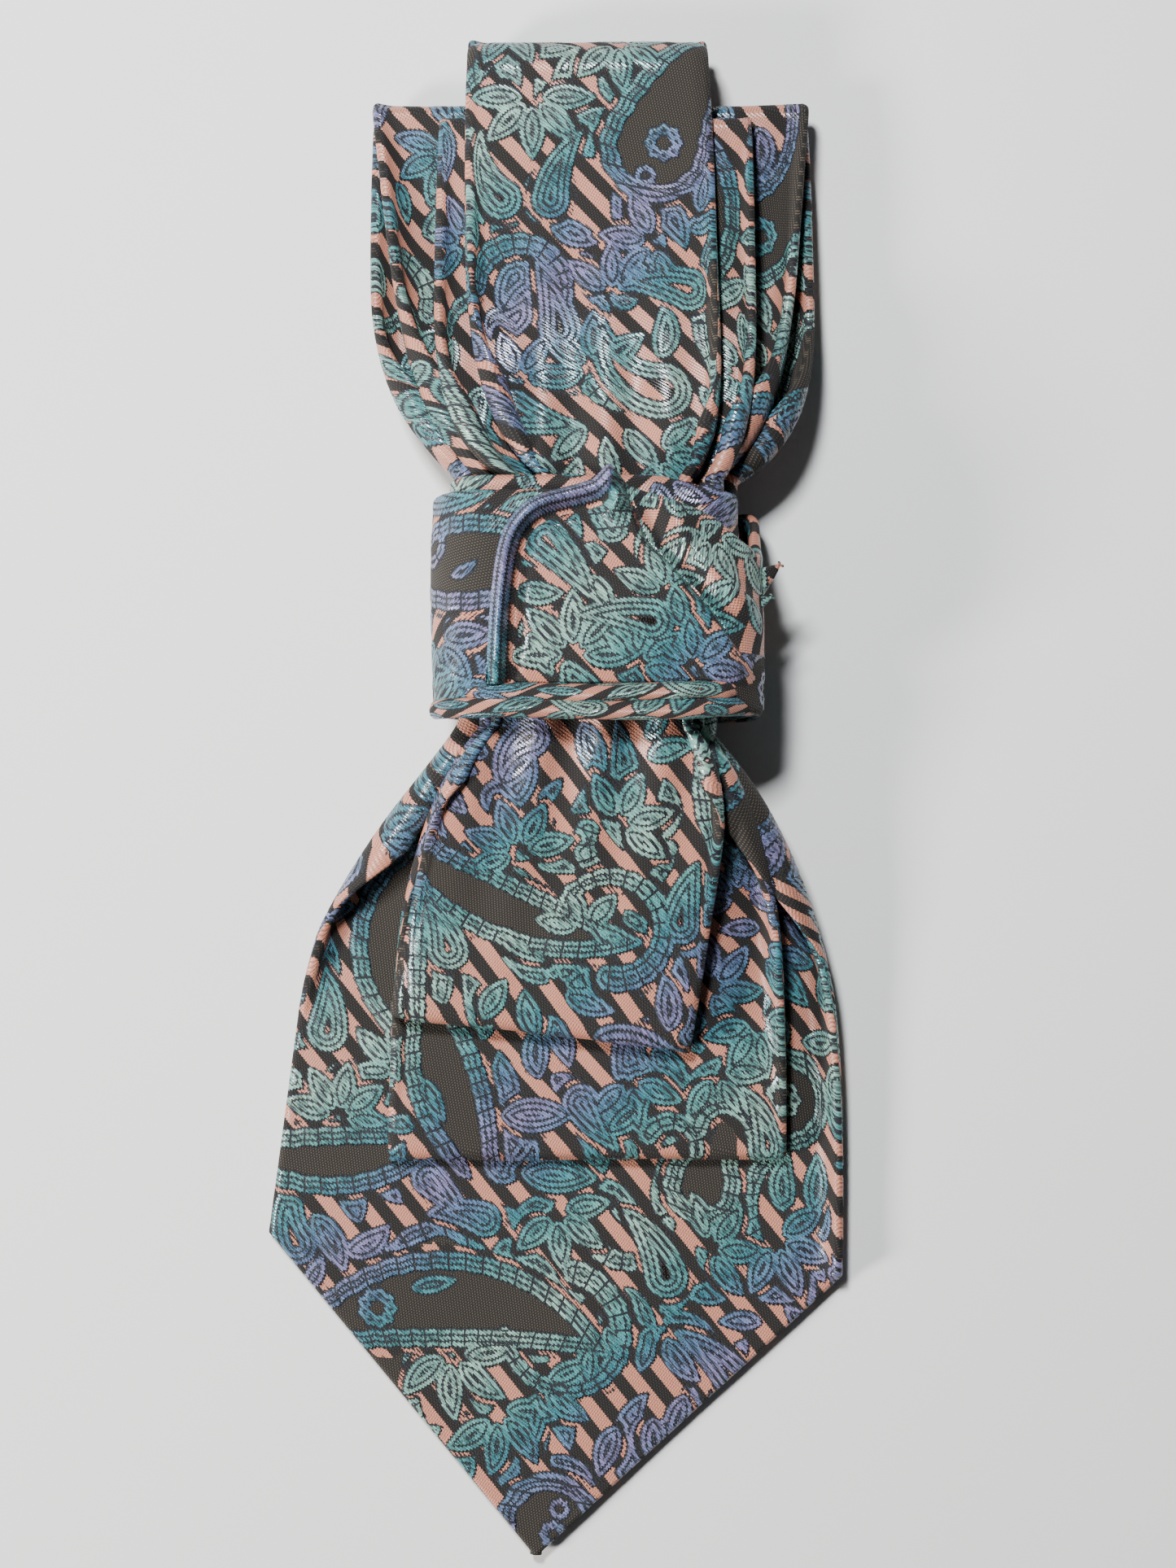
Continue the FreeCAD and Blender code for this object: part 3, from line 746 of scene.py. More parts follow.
line = blade_line()
distance = line[4]
to_point = np.clip(BLADE_LENGTH + 0.3 - distance, 1.0, None)
width = np.minimum(web_half(to_point), to_point * BLADE_HALF / BLADE_POINT)
blade = run_of_cloth(
    "blade", line, width,
    reach_left=np.minimum(spread(distance, 21.0, 48.4, 27.0, 1.3), width),
    reach_right=np.minimum(spread(distance, 19.0, 47.4, 26.0, 1.0), width),
    roll=1.9 + 0.05 * np.clip(distance, 0, 60), layout=laid_out(blade_figures), steps=(180, 50),
    shade=-4.5, droop=0.0)
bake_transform(blade)
made_of_tie("blade")


# ---------------------------------------------------------------------------------------------
# The folds below the knot: the tie comes back under itself and lies on the blade, twice.
# Each is two runs and the soft fold between them, with the interlining still inside.
FOLD_STEP = 0.6


def folded_line(side, reach, layers, levels, drift, face, inside=INSIDE, drop_length=34.0):
    """Out of the mouth on one run, half a circle round the fold, and back in on the other.

    The height of each run falls from its level in the knot to its level on the table. The place on
    the cloth is counted from the fold, so that it agrees with the lengthwise place on the run whose
    face is up.
    """
    radius = (levels[1] - levels[0]) / 2
    straight = reach - radius - PLY / 2
    out = np.arange(-inside, straight, FOLD_STEP)
    turn = np.linspace(0, np.pi, int(np.pi * (radius + PLY / 2) / 0.45) + 3)[1:-1]
    distance = np.concatenate([out, straight + radius * np.sin(turn), out[::-1]])
    height = np.concatenate([
        drop_down(out, mouth_level(layers[0]), levels[0], drop_length),
        (levels[0] + levels[1]) / 2 - radius * np.cos(turn),
        drop_down(out[::-1], mouth_level(layers[1]), levels[1], drop_length)])
    y = side * (abs(MOUTH_Y) + distance)
    run = np.concatenate([[0], np.cumsum(np.hypot(np.diff(y), np.diff(height)))])
    middle = run[np.argmax(distance)]
    up_run = np.where(run > middle, 1.0, -1.0) * -face
    fold_y = side * (abs(MOUTH_Y) + straight)
    place = fold_y - side * up_run * np.abs(run - middle)
    x = drift * np.clip(distance, 0, None) / reach
    return x, y, height, np.zeros_like(x), distance, place, np.where(run > middle, -face, face)


def table_level(layer):
    """Height of a run's middle in the stack at the blade's end, the blade being layer 1."""
    return PLY / 2 + (layer - 1) * PITCH


def slanted(slope, reach):
    """Leans a fold's end: each point moves lengthwise by the slope times its sideways place."""
    def move(points, s, distance):
        """y grows by tan(slope) times x, and by more towards the end, as (distance / reach)^1.5."""
        share = np.clip(distance / reach, 0, 1) ** 1.5
        points[..., 1] += math.tan(math.radians(slope)) * points[..., 0] * share
        return points
    return move


lower_fold_figures = (
    [sickle(-27, -60, -84, 36, 6.4, 24), leaf(-27.5, -75, -74, 8, 1.7, 20), leaf(-15, -81, 0, 12, 3.0)]
    + [drop(-2, -79, -60, 10, 3.2, 20), leaf(2, -84, 40, 10, 2.4), scroll(9, -84, 60, 14, 1.6, -190)]
    + [scroll(17, -83, 80, 13, 1.6, -170), drop(28.5, -86, 100, 11, 3.4, 30)]
    + spray(20, -74, -60, 3, 120, 8, 2.1) + spray(27, -66, -80, 5, 170, 8, 2.1)
    + spray(6, -75, -80, 3, 110, 8, 2.1)
)
upper_fold_figures = (
    [sickle(-34, -33, -50, 47, 5.9, 52), scroll(2.5, -57.6, -4, 36, 2.0, 245)]
    + [leaf(-16, -50.5, -40, 10, 1.8, 15), drop(-23.5, -55, 100, 11, 3.5, 30)]
    + [scroll(-28.4, -44, -91, 25, 1.9, 2), drop(14, -48, 84, 11, 3.5, -20)]
    + spray(-1.5, -50, 80, 4, 180, 7, 2.0) + spray(-12, -37, 110, 5, 190, 8, 2.2)
    + [leaf(0, -66.5, -8, 16, 2.8)]
    + [leaf(12, -65, 80, 9, 2.3, 30), leaf(-18, -66, 60, 8, 2.1), leaf(-9, -68, 120, 8, 2.1, -30)]
    + spray(4, -32, 40, 4, 150, 8, 2.1)
)
LOWER_REACH, UPPER_REACH = 70.2, 50.6   # from the mouth to each fold's end
FOLD_INSIDE = 3.0
UPPER_SLANT = -6.8                      # degrees
line = folded_line(
    -1, LOWER_REACH, layers=(2, 3), levels=(table_level(2), table_level(3)), drift=-1.0, face=-1.0,
    inside=FOLD_INSIDE)
distance = line[4]
lower_fold = run_of_cloth(
    "lower_fold", line, width=32.6,
    reach_left=spread(distance, 17.5, 32.9, 18.0), reach_right=spread(distance, 17.0, 32.6, 18.0),
    roll=0.6 + 0.10 * np.clip(distance, 0, 30), layout=laid_out(lower_fold_figures), steps=(140, 50),
    shade=0.0)
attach(lower_fold, "lower_fold")
made_of_tie("lower_fold")

line = folded_line(
    -1, UPPER_REACH, layers=(4, 5), levels=(table_level(4), table_level(5) + 0.8), drift=-8.7, face=-1.0,
    inside=FOLD_INSIDE)
distance = line[4]
upper_fold = run_of_cloth(
    "upper_fold", line, width=24.4,
    reach_left=spread(distance, 15.5, 24.4, 9.0), reach_right=spread(distance, 15.0, 24.4, 9.0),
    roll=0.4 + 0.08 * np.clip(distance, 0, 30), layout=laid_out(upper_fold_figures), steps=(120, 40),
    shade=-7.0, after=slanted(UPPER_SLANT, UPPER_REACH))
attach(upper_fold, "upper_fold")
made_of_tie("upper_fold")


# ---------------------------------------------------------------------------------------------
# The loops above the knot: the rear one is the blade's own run turning back, the middle one
# lies in it, and the front one goes over them both and down behind.
REAR_REACH, MIDDLE_REACH, FRONT_REACH = 65.0, 61.5, 75.0
KEEPER_ROOM = 2.9
LOOP_SHADE, LOOP_SEED = 35.0, 4.2


def top_level(layer):
    """Height of a run's middle above the knot: layer 0 on the table, the rest over the keeper."""
    return PLY / 2 if layer == 0 else PLY / 2 + KEEPER_ROOM + (layer - 1) * PITCH


line = folded_line(1, REAR_REACH, layers=(1, 2), levels=(top_level(1), top_level(2)), drift=-0.5, face=1.0)
distance = line[4]
gone_out = np.clip(distance, 0, None)
first = np.arange(len(distance)) < len(distance) / 2
rear_width = np.where(first, web_half(237 - 62 + distance), web_half(237 + 62 - distance))
rear_loop = run_of_cloth(
    "rear_loop", line, rear_width,
    reach_left=np.where(
        first, spread(distance, 21.0, 36.4, 12.0, 1.2),
        31 + 5.4 * (gone_out / 65) ** 2 - 14 * np.exp(-gone_out / 11)),
    reach_right=np.where(
        first, spread(distance, 22.5, 36.4, 8.0),
        32 + 4.4 * (gone_out / 65) ** 2 - 13 * np.exp(-gone_out / 10)),
    roll=1.7 + 0.07 * np.clip(distance, 0, 40), layout=laid_out(None), steps=(130, 50), shade=LOOP_SHADE,
    seed=LOOP_SEED)
line = folded_line(1, MIDDLE_REACH, layers=(3, 4), levels=(top_level(3), top_level(4)), drift=0.3, face=1.0)
distance = line[4]
middle_loop = run_of_cloth(
    "middle_loop", line, width=25.8 + 3.0 * np.clip(1 - distance / 60, 0, 1),
    reach_left=spread(distance, 14.0, 25.6, 8.0), reach_right=spread(distance, 20.0, 25.8, 8.0),
    roll=1.0 + 0.05 * np.clip(distance, 0, 40), layout=laid_out(None), steps=(110, 40), shade=LOOP_SHADE,
    seed=LOOP_SEED)
front_loop_figures = (
    [paisley(10.5, 66, 70, 30, 9.2, -30), ring(11.5, 66.5, 3.2), ring(8.5, 61, 1.9)]
    + [drop(-15, 57, 140, 13, 3.4, -70), drop(-7, 57, 85, 13, 3.2, -40), scroll(-19.5, 43, 84, 30, 2.0, -230)]
    + [drop(-5.4, 35, 96, 13, 3.6, 25), drop(15.5, 42, 160, 13, 3.7, 30), drop(11, 24, 170, 18, 5.0, -90)]
    + spray(0, 28, 90, 5, 210, 9, 2.3) + spray(3, 41, 90, 3, 100, 8, 2.0) + spray(10, 50, 200, 4, 170, 8, 2.1)
    + spray(-10, 74, 270, 5, 180, 9, 2.2) + spray(-12, 26, 60, 3, 100, 8, 2.0)
    + [leaf(17, 55, 60, 8, 2.1, 30)]
    + spray(4, 84, 300, 4, 150, 8, 2.1) + spray(-14, 88, 320, 4, 150, 8, 2.1)
)
line = folded_line(1, FRONT_REACH, layers=(0, 5), levels=(top_level(0), top_level(5)), drift=-1.0, face=-1.0)
distance = line[4]
front_loop = run_of_cloth(
    "front_loop", line, width=19.9 + 2.6 * np.clip(1 - distance / 70, 0, 1),
    reach_left=spread(distance, 8.0, 20.0, 11.0), reach_right=spread(distance, 15.0, 20.2, 6.0),
    roll=0.6 + 0.05 * np.clip(distance, 0, 40), layout=laid_out(front_loop_figures), steps=(110, 40),
    shade=LOOP_SHADE, seed=LOOP_SEED)
for name, loop, flat_width, length in (
        ("rear_loop", rear_loop, 0.074, 0.158), ("middle_loop", middle_loop, 0.054, 0.150),
        ("front_loop", front_loop, 0.042, 0.190)):
    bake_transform(loop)
    made_of_tie(name)


# ---------------------------------------------------------------------------------------------
# The wraps: the narrow tail wound round the bundle.
# The same flat tube goes round a rounded oblong. The first wrap shows only its upper edge, the
# second shows at the left of the knot, and inside them the six runs are squeezed together.
def wound(first_x, first_z, heading, parts, step=0.7):
    """Sideways place, height, outward normal and run along straights and quarter turns.

    parts is a list of (length, 0) for a straight and (radius, degrees) for a turn. The outward side
    is to the left of the heading.
    """
    x, z, angle, run = [], [], [], []
    place_x, place_z, turned, gone = first_x, first_z, math.radians(heading), 0.0
    for size, degrees in parts:
        bend = math.radians(degrees)
        length = size if degrees == 0 else size * abs(bend)
        at = np.linspace(0, length, max(int(length / step), 2), endpoint=False)
        if degrees == 0:
            x.append(place_x + at * math.cos(turned))
            z.append(place_z + at * math.sin(turned))
            angle.append(np.full_like(at, turned))
            place_x += length * math.cos(turned)
            place_z += length * math.sin(turned)
        else:
            side = math.copysign(size, bend)
            now = turned + at / side
            x.append(place_x + side * (np.sin(now) - math.sin(turned)))
            z.append(place_z - side * (np.cos(now) - math.cos(turned)))
            angle.append(now)
            place_x += side * (math.sin(turned + bend) - math.sin(turned))
            place_z -= side * (math.cos(turned + bend) - math.cos(turned))
            turned += bend
        run.append(gone + at)
        gone += length
    x, z, angle, run = (np.concatenate(values) for values in (x, z, angle, run))
    return x, z, -np.sin(angle), np.cos(angle), run


def wrap_of_cloth(name, around, low_edge, high_edge, layout, steps, seed, place, shade, belly=0.5,
                  relief=None):
    """The flat tube wound along a line, its edges lengthwise: a plain section with a soft belly.

    place turns the run and the lengthwise place into the place on the cloth. relief gives the extra
    height of the front face over the line.
    """
    x, z, normal_x, normal_z, run = (values[:, None] for values in around)
    low_edge, high_edge = (np.broadcast_to(values, run.shape[0])[:, None] for values in (low_edge, high_edge))
    share, out, up = round_section(*steps)
    half = PLY / 2
    middle, width = (low_edge + high_edge) / 2, (high_edge - low_edge) / 2
    s = share * (width - half) + out * half
    y = middle + s
    lift = up * half + belly * (1 - (s / width) ** 2) + 0.25 * soft(s, run * 0.7, seed, 7.0)
    if relief is not None:
        lift = lift + relief(x + 0 * y, y) * np.clip(normal_z, 0, 1)
    p, q = place(x + 0 * y, y, run + 0 * y)
    back = np.broadcast_to(up < -0.5, s.shape)
    figure = layout(p, q, back)
    lift = lift + 0.10 * np.clip(figure[..., 0] / 0.5, 0, 1) * up
    points = np.stack([x + lift * normal_x, y + 0 * x, z + lift * normal_z], axis=-1)
    cloth = np.stack([p, q, shade(x + 0 * y, y)], axis=-1)
    return closed_tube(name, points, cloth, figure, silk)


def oblong(half_width, low, high, corner):
    """Round the bundle from the middle of its back: left, up the left side, over and down."""
    flat, side = 2 * (half_width - corner), high - low - 2 * corner
    parts = [(flat / 2, 0)] + [(corner, -90), (side, 0), (corner, -90), (flat, 0)] * 2
    return wound(0.0, low, 180.0, parts[:-1] + [(flat / 2, 0)])


def across_run(x, y, run):
    """A wrap's cloth lies crosswise: its length runs round the knot."""
    return -y, run


def ease(value, low, high):
    """0 below low, 1 above high, and a smooth step between."""
    share = np.clip((value - low) / (high - low), 0, 1)
    return share * share * (3 - 2 * share)


def under_layout(x, y, back):
    """The repeat on both faces, begun 16 mm further on."""
    return repeated_fields(x - 16.0, y)


def evenly(shading):
    """The same shading everywhere."""
    return lambda x, y: shading + 0 * y


WRAP_LOW_EDGE = -18.0
first_line = oblong(22.2, low=5.2, high=21.6, corner=5.5)
second_line = oblong(24.9, low=3.1, high=23.3, corner=9.0)
first_wrap = wrap_of_cloth(
    "first_wrap", first_line, WRAP_LOW_EDGE, 19.9 - 2.4 * ease(first_line[0], 8.0, 22.0),
    layout=under_layout, steps=(90, 30), seed=7.7, place=across_run, shade=evenly(12.0))
shoulder_figures = (
    [sickle(-6.5, 27, 84, 34, 7.6, 12), scroll(-6.5, 34.5, 75, 10, 1.0, 210), leaf(-3.5, 40, 100, 5, 1.1, 40)]
    + spray(6, 37, 15, 4, 150, 8.5, 2.3) + spray(12, 42, -30, 4, 140, 8, 2.2)
    + [drop(-17, 35, 70, 12, 3.0, 40)]
)
second_wrap = wrap_of_cloth(
    "second_wrap", second_line, WRAP_LOW_EDGE, 17.3 - 8.5 * ease(second_line[0], 4.0, 22.0),
    layout=laid_out(shoulder_figures), steps=(90, 30), seed=8.8, place=across_run, shade=evenly(30.0))
for wrap, name in ((first_wrap, "first_wrap"), (second_wrap, "second_wrap")):
    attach(wrap, "knot")
    made_of_tie(name)

# The runs squeezed together are one bundle: a rounded oblong, |x / half|^n + |z / rise|^n = 1 with n
# near 6, its top and back a little wavy.
BUNDLE_HALF, BUNDLE_RISE, BUNDLE_LEVEL, BUNDLE_ROUND = 19.6, 6.5, 13.4, 0.35
around = np.linspace(0, 2 * np.pi, 96, endpoint=False)[None, :]
bundle_y = np.linspace(-16.0, 16.0, 40)[:, None] + 0 * around
bundle_x = BUNDLE_HALF * np.sign(np.cos(around)) * np.abs(np.cos(around)) ** BUNDLE_ROUND + 0 * bundle_y
bundle_z = BUNDLE_RISE * np.sign(np.sin(around)) * np.abs(np.sin(around)) ** BUNDLE_ROUND + 0 * bundle_y
bundle_z = BUNDLE_LEVEL + bundle_z + 0.25 * np.sin(bundle_x * 1.3) * np.abs(np.sin(around))
gathered = closed_tube(
    "gathered", np.stack([bundle_x, bundle_y, bundle_z], axis=-1),
    np.stack([bundle_x, bundle_y, 0 * bundle_x], axis=-1), repeated_fields(bundle_x, bundle_y), silk)
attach(gathered, "knot")
made_of_tie("gathered")


# ---------------------------------------------------------------------------------------------
# The front pass: the last turn of the tail, drawn over the face of the knot and down its right.
# Its left and upper edge is rolled over, it is pulled up into a small horn where it tucks in, and
# a crease runs from the horn down to the right, past which the cloth turns away.
RIM = [(-16.9, -14.0), (-16.6, -5.3), (-16.1, 1.7), (-15.0, 9.2), (-13.1, 13.1), (-9.0, 16.2),
       (-3.8, 17.4), (0.6, 18.6), (2.4, 20.6), (4.2, 18.6), (7.6, 16.8), (12.4, 15.3), (17.7, 13.6),
       (20.8, 11.6), (23.8, 9.4), (27.0, 7.5)]
RIM_BAND, RIM_END = 3.4, 3.0   # the band's width, and how far right the rim is rolled
CREASE = [(4.6, 16.6), (7.6, 8.8), (12.0, 4.4), (18.6, -3.1), (22.0, -9.0)]
CREASE_TURN = 63.0        # the cloth past the crease is turned by this angle
FRONT_LEFT, FRONT_LEVEL = -16.9, 25.1


def smoothed(points, step, reach):
    """The same path with its corners rounded: even steps, each the mean of those within reach."""
    points = np.array(points, dtype=float)
    gone = np.concatenate([[0], np.cumsum(np.linalg.norm(np.diff(points, axis=0), axis=1))])
    at = np.linspace(0, gone[-1], max(int(gone[-1] / step), 2))
    line = np.stack([np.interp(at, gone, points[:, i]) for i in range(points.shape[1])], axis=1)
    half = max(int(reach / step), 1)
    weights = np.hanning(2 * half + 3)[1:-1]
    weights = weights / weights.sum()
    padded = np.concatenate([np.repeat(line[:1], half, axis=0), line, np.repeat(line[-1:], half, axis=0)])
    return np.stack([np.convolve(column, weights, mode="valid") for column in padded.T], axis=1)


def to_polyline(x, y, points):
    """Distance from each point to the nearest of a row of straight pieces."""
    nearest = np.full(np.shape(x), 1e3)
    for (x0, y0), (x1, y1) in zip(points[:-1], points[1:]):
        dx, dy = x1 - x0, y1 - y0
        share = np.clip(((x - x0) * dx + (y - y0) * dy) / (dx * dx + dy * dy), 0, 1)
        nearest = np.minimum(nearest, np.hypot(x - x0 - share * dx, y - y0 - share * dy))
    return nearest


RIM_LINE = smoothed(RIM[:8], 1.4, 4.2).tolist() + [RIM[8]]


def rim_band(fields, x, y):
    """Lays a plain woven band along the rolled rim: its depth is how far in from its two edges."""
    off = to_polyline(x, y, RIM_LINE)
    depth = RIM_BAND / 2 - np.abs(off - 1.8)
    on = (depth > -0.9) & (x < RIM_END)
    fields[..., 0] = np.where(on, depth, fields[..., 0])
    fields[..., 1] = np.where(on, -20.0, fields[..., 1])
    fields[..., 2] = np.where(on, 0.0, fields[..., 2])
    fields[..., 3] = np.where(on, np.arctan2(y + 2, x - 6) * 20, fields[..., 3])
    return fields


def face_shade(x, y):
    """The face's threads, lilac where the rim rolls over."""
    return 26.0 - 13.0 * ease(-to_polyline(x, y, RIM_LINE), -4.2, -2.6) * (x < RIM_END)


def face_layout(x, y, back):
    """The knot's figures, with the rim's band over them."""
    return rim_band(laid_out(knot_figures)(x, y, back), x, y)


def past_crease(x, y):
    """How far to the right of the crease a point is."""
    crease_x = np.interp(-y, [-c[1] for c in CREASE], [c[0] for c in CREASE])
    return x - crease_x


def knot_face(x, y):
    """Height of the front face: dome, rolled rim, horn, crease, pulled folds and lip, added up.

    The dome is two parabolas multiplied. The rim, the horn and the swell past the crease are bell
    curves of the distance from their lines, and the grooves beside them are the same taken away.
    """
    dome = 1.3 * np.clip(1 - ((x - 2) / 24) ** 2, 0, 1) * np.clip(1 - ((y - 1) / 26) ** 2, 0, 1)
    rim = to_polyline(x, y, RIM_LINE)
    rolled = 2.0 * np.exp(-((rim - 1.5) / 1.25) ** 2) - 1.3 * np.exp(-((rim - 4.0) / 1.0) ** 2)
    rolled = rolled * ease(-x, -6.0, -2.0)
    horn = 2.6 * np.exp(-(to_polyline(x, y, [(2.4, 20.0), (3.4, 14.5)]) / 1.5) ** 2)
    side = past_crease(x, y)
    fade = ease(y, -11.0, -3.0)
    turned = fade * ease(side, -0.3, 1.2)
    swell = 1.9 * fade * np.exp(-((side - 6.5) / 3.2) ** 2)
    groove = 1.1 * fade * np.exp(-((side - 0.9) / 0.7) ** 2)
    lobe = -1.7 * turned + swell - groove
    pulled = 0.5 * np.sin((0.72 * x + 0.69 * y) * 0.55) * ease(y, 2.0, 15.0) * ease(-x, -8.0, 0.0)
    lip = -1.2 * ease(-y, 10.0, 15.0)
    return dome + rolled + horn + lobe + pulled + lip


def face_place(x, y, run):
    """The place on the cloth: straight on the face, and turned about a point past the crease."""
    p = run - 16.6
    turn = math.radians(CREASE_TURN)
    turned = (past_crease(x, y) > 0.4) & (y > -9.0)
    turned_p = 12 + (p - 12) * math.cos(turn) - (y - 4) * math.sin(turn)
    turned_q = 4 + (p - 12) * math.sin(turn) + (y - 4) * math.cos(turn)
    return np.where(turned, turned_p, p), np.where(turned, turned_q, y)


knot_figures = (
    [drop(-7.4, 8.8, -42, 13, 3.5, -18), drop(9.4, -4.2, 166, 14, 3.7, 25), scroll(3, 15.5, -90, 5, 4.4, 5)]
    + spray(-2.9, -9.5, 90, 5, 180, 9, 2.2) + spray(12, 0, 110, 3, 90, 8, 2.0)
    + spray(7, -11, 60, 4, 150, 7.5, 2.0) + spray(16, -11.5, 70, 4, 150, 7.5, 2.0)
    + [scroll(-14.6, -13, 90, 26, 2.0, -8), scroll(-14.0, 11, 75, 22, 1.9, -70)]
    + [leaf(-12, 1, -20, 8, 2.0, 30), leaf(-10, -6, -60, 8, 2.0)]
    + [leaf(0, 3, -60, 7, 1.8), leaf(14, -5, 100, 7, 2.0)]
)
corner_run = wound(
    FRONT_LEFT, FRONT_LEVEL, 0.0, [(35.6, 0), (7.6, -90), (10.1, 0), (6.0, -90), (26.0, 0)], step=0.4)
FACE_TOP = np.concatenate([np.array(RIM_LINE), smoothed(RIM[8:], 1.4, 2.0)[1:]])
front_x, front_run = corner_run[0], corner_run[4]
over_front = front_run < 45.0
high_edge = np.where(
    over_front, np.interp(front_x, FACE_TOP[:, 0], FACE_TOP[:, 1]),
    7.5 + 9.0 * ease(front_run, 45.0, 62.0))
rounded_start = np.minimum(high_edge, 1.0 + (front_x - FRONT_LEFT) * 5.0)
high_edge = np.where(over_front & (front_x < -15.6), rounded_start, high_edge)
low_edge = -14.0 - 4.2 * ease(front_run, 36.0, 44.0)
front_pass = wrap_of_cloth(
    "front_pass", corner_run, low_edge, high_edge, layout=face_layout, steps=(150, 30), seed=9.9,
    place=face_place, shade=face_shade, belly=0.2, relief=knot_face)
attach(front_pass, "knot")
made_of_tie("front_pass")


# ---------------------------------------------------------------------------------------------
# The rolled lip: the lower edge of the wraps rolled over twice across the mouth of the knot.
def roll_of_cloth(name, path, radius, seed):
    """A round roll of cloth along a path, thinner at its ends, its stripes wound round it."""
    path = np.array(path, dtype=float)
    gone = np.concatenate([[0], np.cumsum(np.linalg.norm(np.diff(path, axis=0), axis=1))])
    at = np.arange(0, gone[-1], 0.4)
    line = smoothed(path, gone[-1] / len(at), 3.0)[:len(at)]
    at = at[:len(line)]
    ahead = np.gradient(line, axis=0)
    ahead = ahead / np.linalg.norm(ahead, axis=1, keepdims=True)
    lengthwise = np.array([0.0, 1.0, 0.0])
    upward = np.cross(ahead, lengthwise)
    upward = upward / np.linalg.norm(upward, axis=1, keepdims=True)
    around = np.linspace(0, 2 * np.pi, 44, endpoint=False)[None, :]
    end = np.clip(np.minimum(at, at[-1] - at) / 3.0, 0.02, 1)[:, None] ** 0.5
    p, q = at[:, None] + 0 * around, around * radius[0] * 2.2 + 0 * at[:, None]
    figure = repeated_fields(p + 7 * seed, q)
    size = 1 + 0.10 * soft(at[:, None], 6 * around, seed, 5.0) + 0.06 * np.clip(figure[..., 0], 0, 1)
    points = (
        line[:, None, :]
        + (radius[0] * size * end * np.cos(around))[..., None] * lengthwise
        + (radius[1] * size * end * np.sin(around))[..., None] * upward[:, None, :])
    return closed_tube(name, points, np.stack([p, q, 0 * p + 8], axis=-1), figure, silk)


inner_roll = roll_of_cloth(
    "inner_roll", [(-21.0, -15.0, 22.6), (-16.0, -15.1, 24.9), (0.0, -15.4, 26.0), (14.0, -15.0, 25.8),
                   (20.6, -14.6, 24.6), (23.0, -15.4, 22.6)], radius=(1.45, 1.3), seed=3.0)
outer_roll = roll_of_cloth(
    "rolled_edge", [(-24.6, -17.2, 14.0), (-25.0, -17.2, 18.4), (-22.2, -17.3, 22.6), (-15.0, -17.5, 25.0),
                    (0.0, -17.9, 25.8), (14.0, -17.8, 25.4), (21.0, -17.2, 23.8), (25.0, -16.8, 19.6),
                    (25.8, -16.8, 15.0)], radius=(1.55, 1.5), seed=4.0)
for roll in (outer_roll, inner_roll):
    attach(roll, "knot")
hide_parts("rolled_edge")


# ---------------------------------------------------------------------------------------------
# The tail's tip: the point of the narrow end, left standing out at the knot's right side.
def thin_sheet(name, left, right, thickness, material):
    """A flat closed piece between two lines of points, its thickness along their common normal."""
    left, right = np.array(left, dtype=float), np.array(right, dtype=float)
    share = np.linspace(0, 1, 24)[None, :, None]
    face = left[:, None, :] * (1 - share) + right[:, None, :] * share
    normal = np.cross(np.gradient(face, axis=0), np.gradient(face, axis=1))
    normal = normal / np.maximum(np.linalg.norm(normal, axis=2, keepdims=True), 1e-9)
    bulge = thickness / 2 * np.clip(1 - np.abs(2 * share - 1) ** 8, 0.15, 1)
    points = np.concatenate([face + normal * bulge, (face - normal * bulge)[:, ::-1]], axis=1)
    p, q = points[..., 0] + points[..., 2], points[..., 1]
    cloth = np.stack([p, q, 0 * p], axis=-1)
    return closed_tube(name, points, cloth, repeated_fields(p + 11, q + 5), material)


def tip_of_tail(name, root, tip, width, lift):
    """A small pointed corner of cloth from a root to a tip, curling up a little on the way."""
    share = np.linspace(0, 1, 30)[:, None]
    root, tip = np.array(root), np.array(tip)
    middle = root + (tip - root) * share + np.array([0, 0, lift]) * share ** 2
    across = np.cross(tip - root, [0.35, 0, 1.0])
    across = across / np.linalg.norm(across) * width * (1 - share) ** 0.8 + 1e-3
    return thin_sheet(name, middle - across, middle + across, 1.3, silk)


tail_tip = tip_of_tail("tail_tip", (25.2, 2.4, 17.6), (30.0, 6.0, 17.2), width=2.6, lift=1.2)
tail_corner = tip_of_tail("tail_corner", (24.6, -1.2, 19.4), (28.6, 0.8, 17.4), width=1.7, lift=1.0)
for corner in (tail_tip, tail_corner):
    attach(corner, "knot")
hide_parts("tail_tip_silk", "tail_tip_lining")


# ---------------------------------------------------------------------------------------------
# The blade's back: a twill lining let in at the point, the slip stitches up the seam, and the bar
# tack that ends them.
def woven_material(name, low, high, repeat, roughness):
    """A plain small twill: two shades in fine diagonal ribs, raised a little."""
    material = plain_material(name, high, roughness)
    tree = material.node_tree
    shader = tree.nodes["Principled BSDF"]
    where = tree.nodes.new("ShaderNodeTexCoord")
    rib = tree.nodes.new("ShaderNodeTexWave")
    rib.wave_type = "BANDS"
    rib.bands_direction = "DIAGONAL"
    rib.inputs["Scale"].default_value = 0.314 / (repeat * MM)
    rib.inputs["Distortion"].default_value = 0.6
    tree.links.new(where.outputs["Object"], rib.inputs["Vector"])
    ramp = tree.nodes.new("ShaderNodeValToRGB")
    ramp.color_ramp.elements[0].color = (*low, 1)
    ramp.color_ramp.elements[1].color = (*high, 1)
    tree.links.new(rib.outputs["Fac"], ramp.inputs[0])
    tree.links.new(ramp.outputs["Color"], shader.inputs["Base Color"])
    bump = tree.nodes.new("ShaderNodeBump")
    bump.inputs["Strength"].default_value = 0.6
    bump.inputs["Distance"].default_value = 0.00010
    tree.links.new(rib.outputs["Fac"], bump.inputs["Height"])
    tree.links.new(bump.outputs[0], shader.inputs["Normal"])
    return material


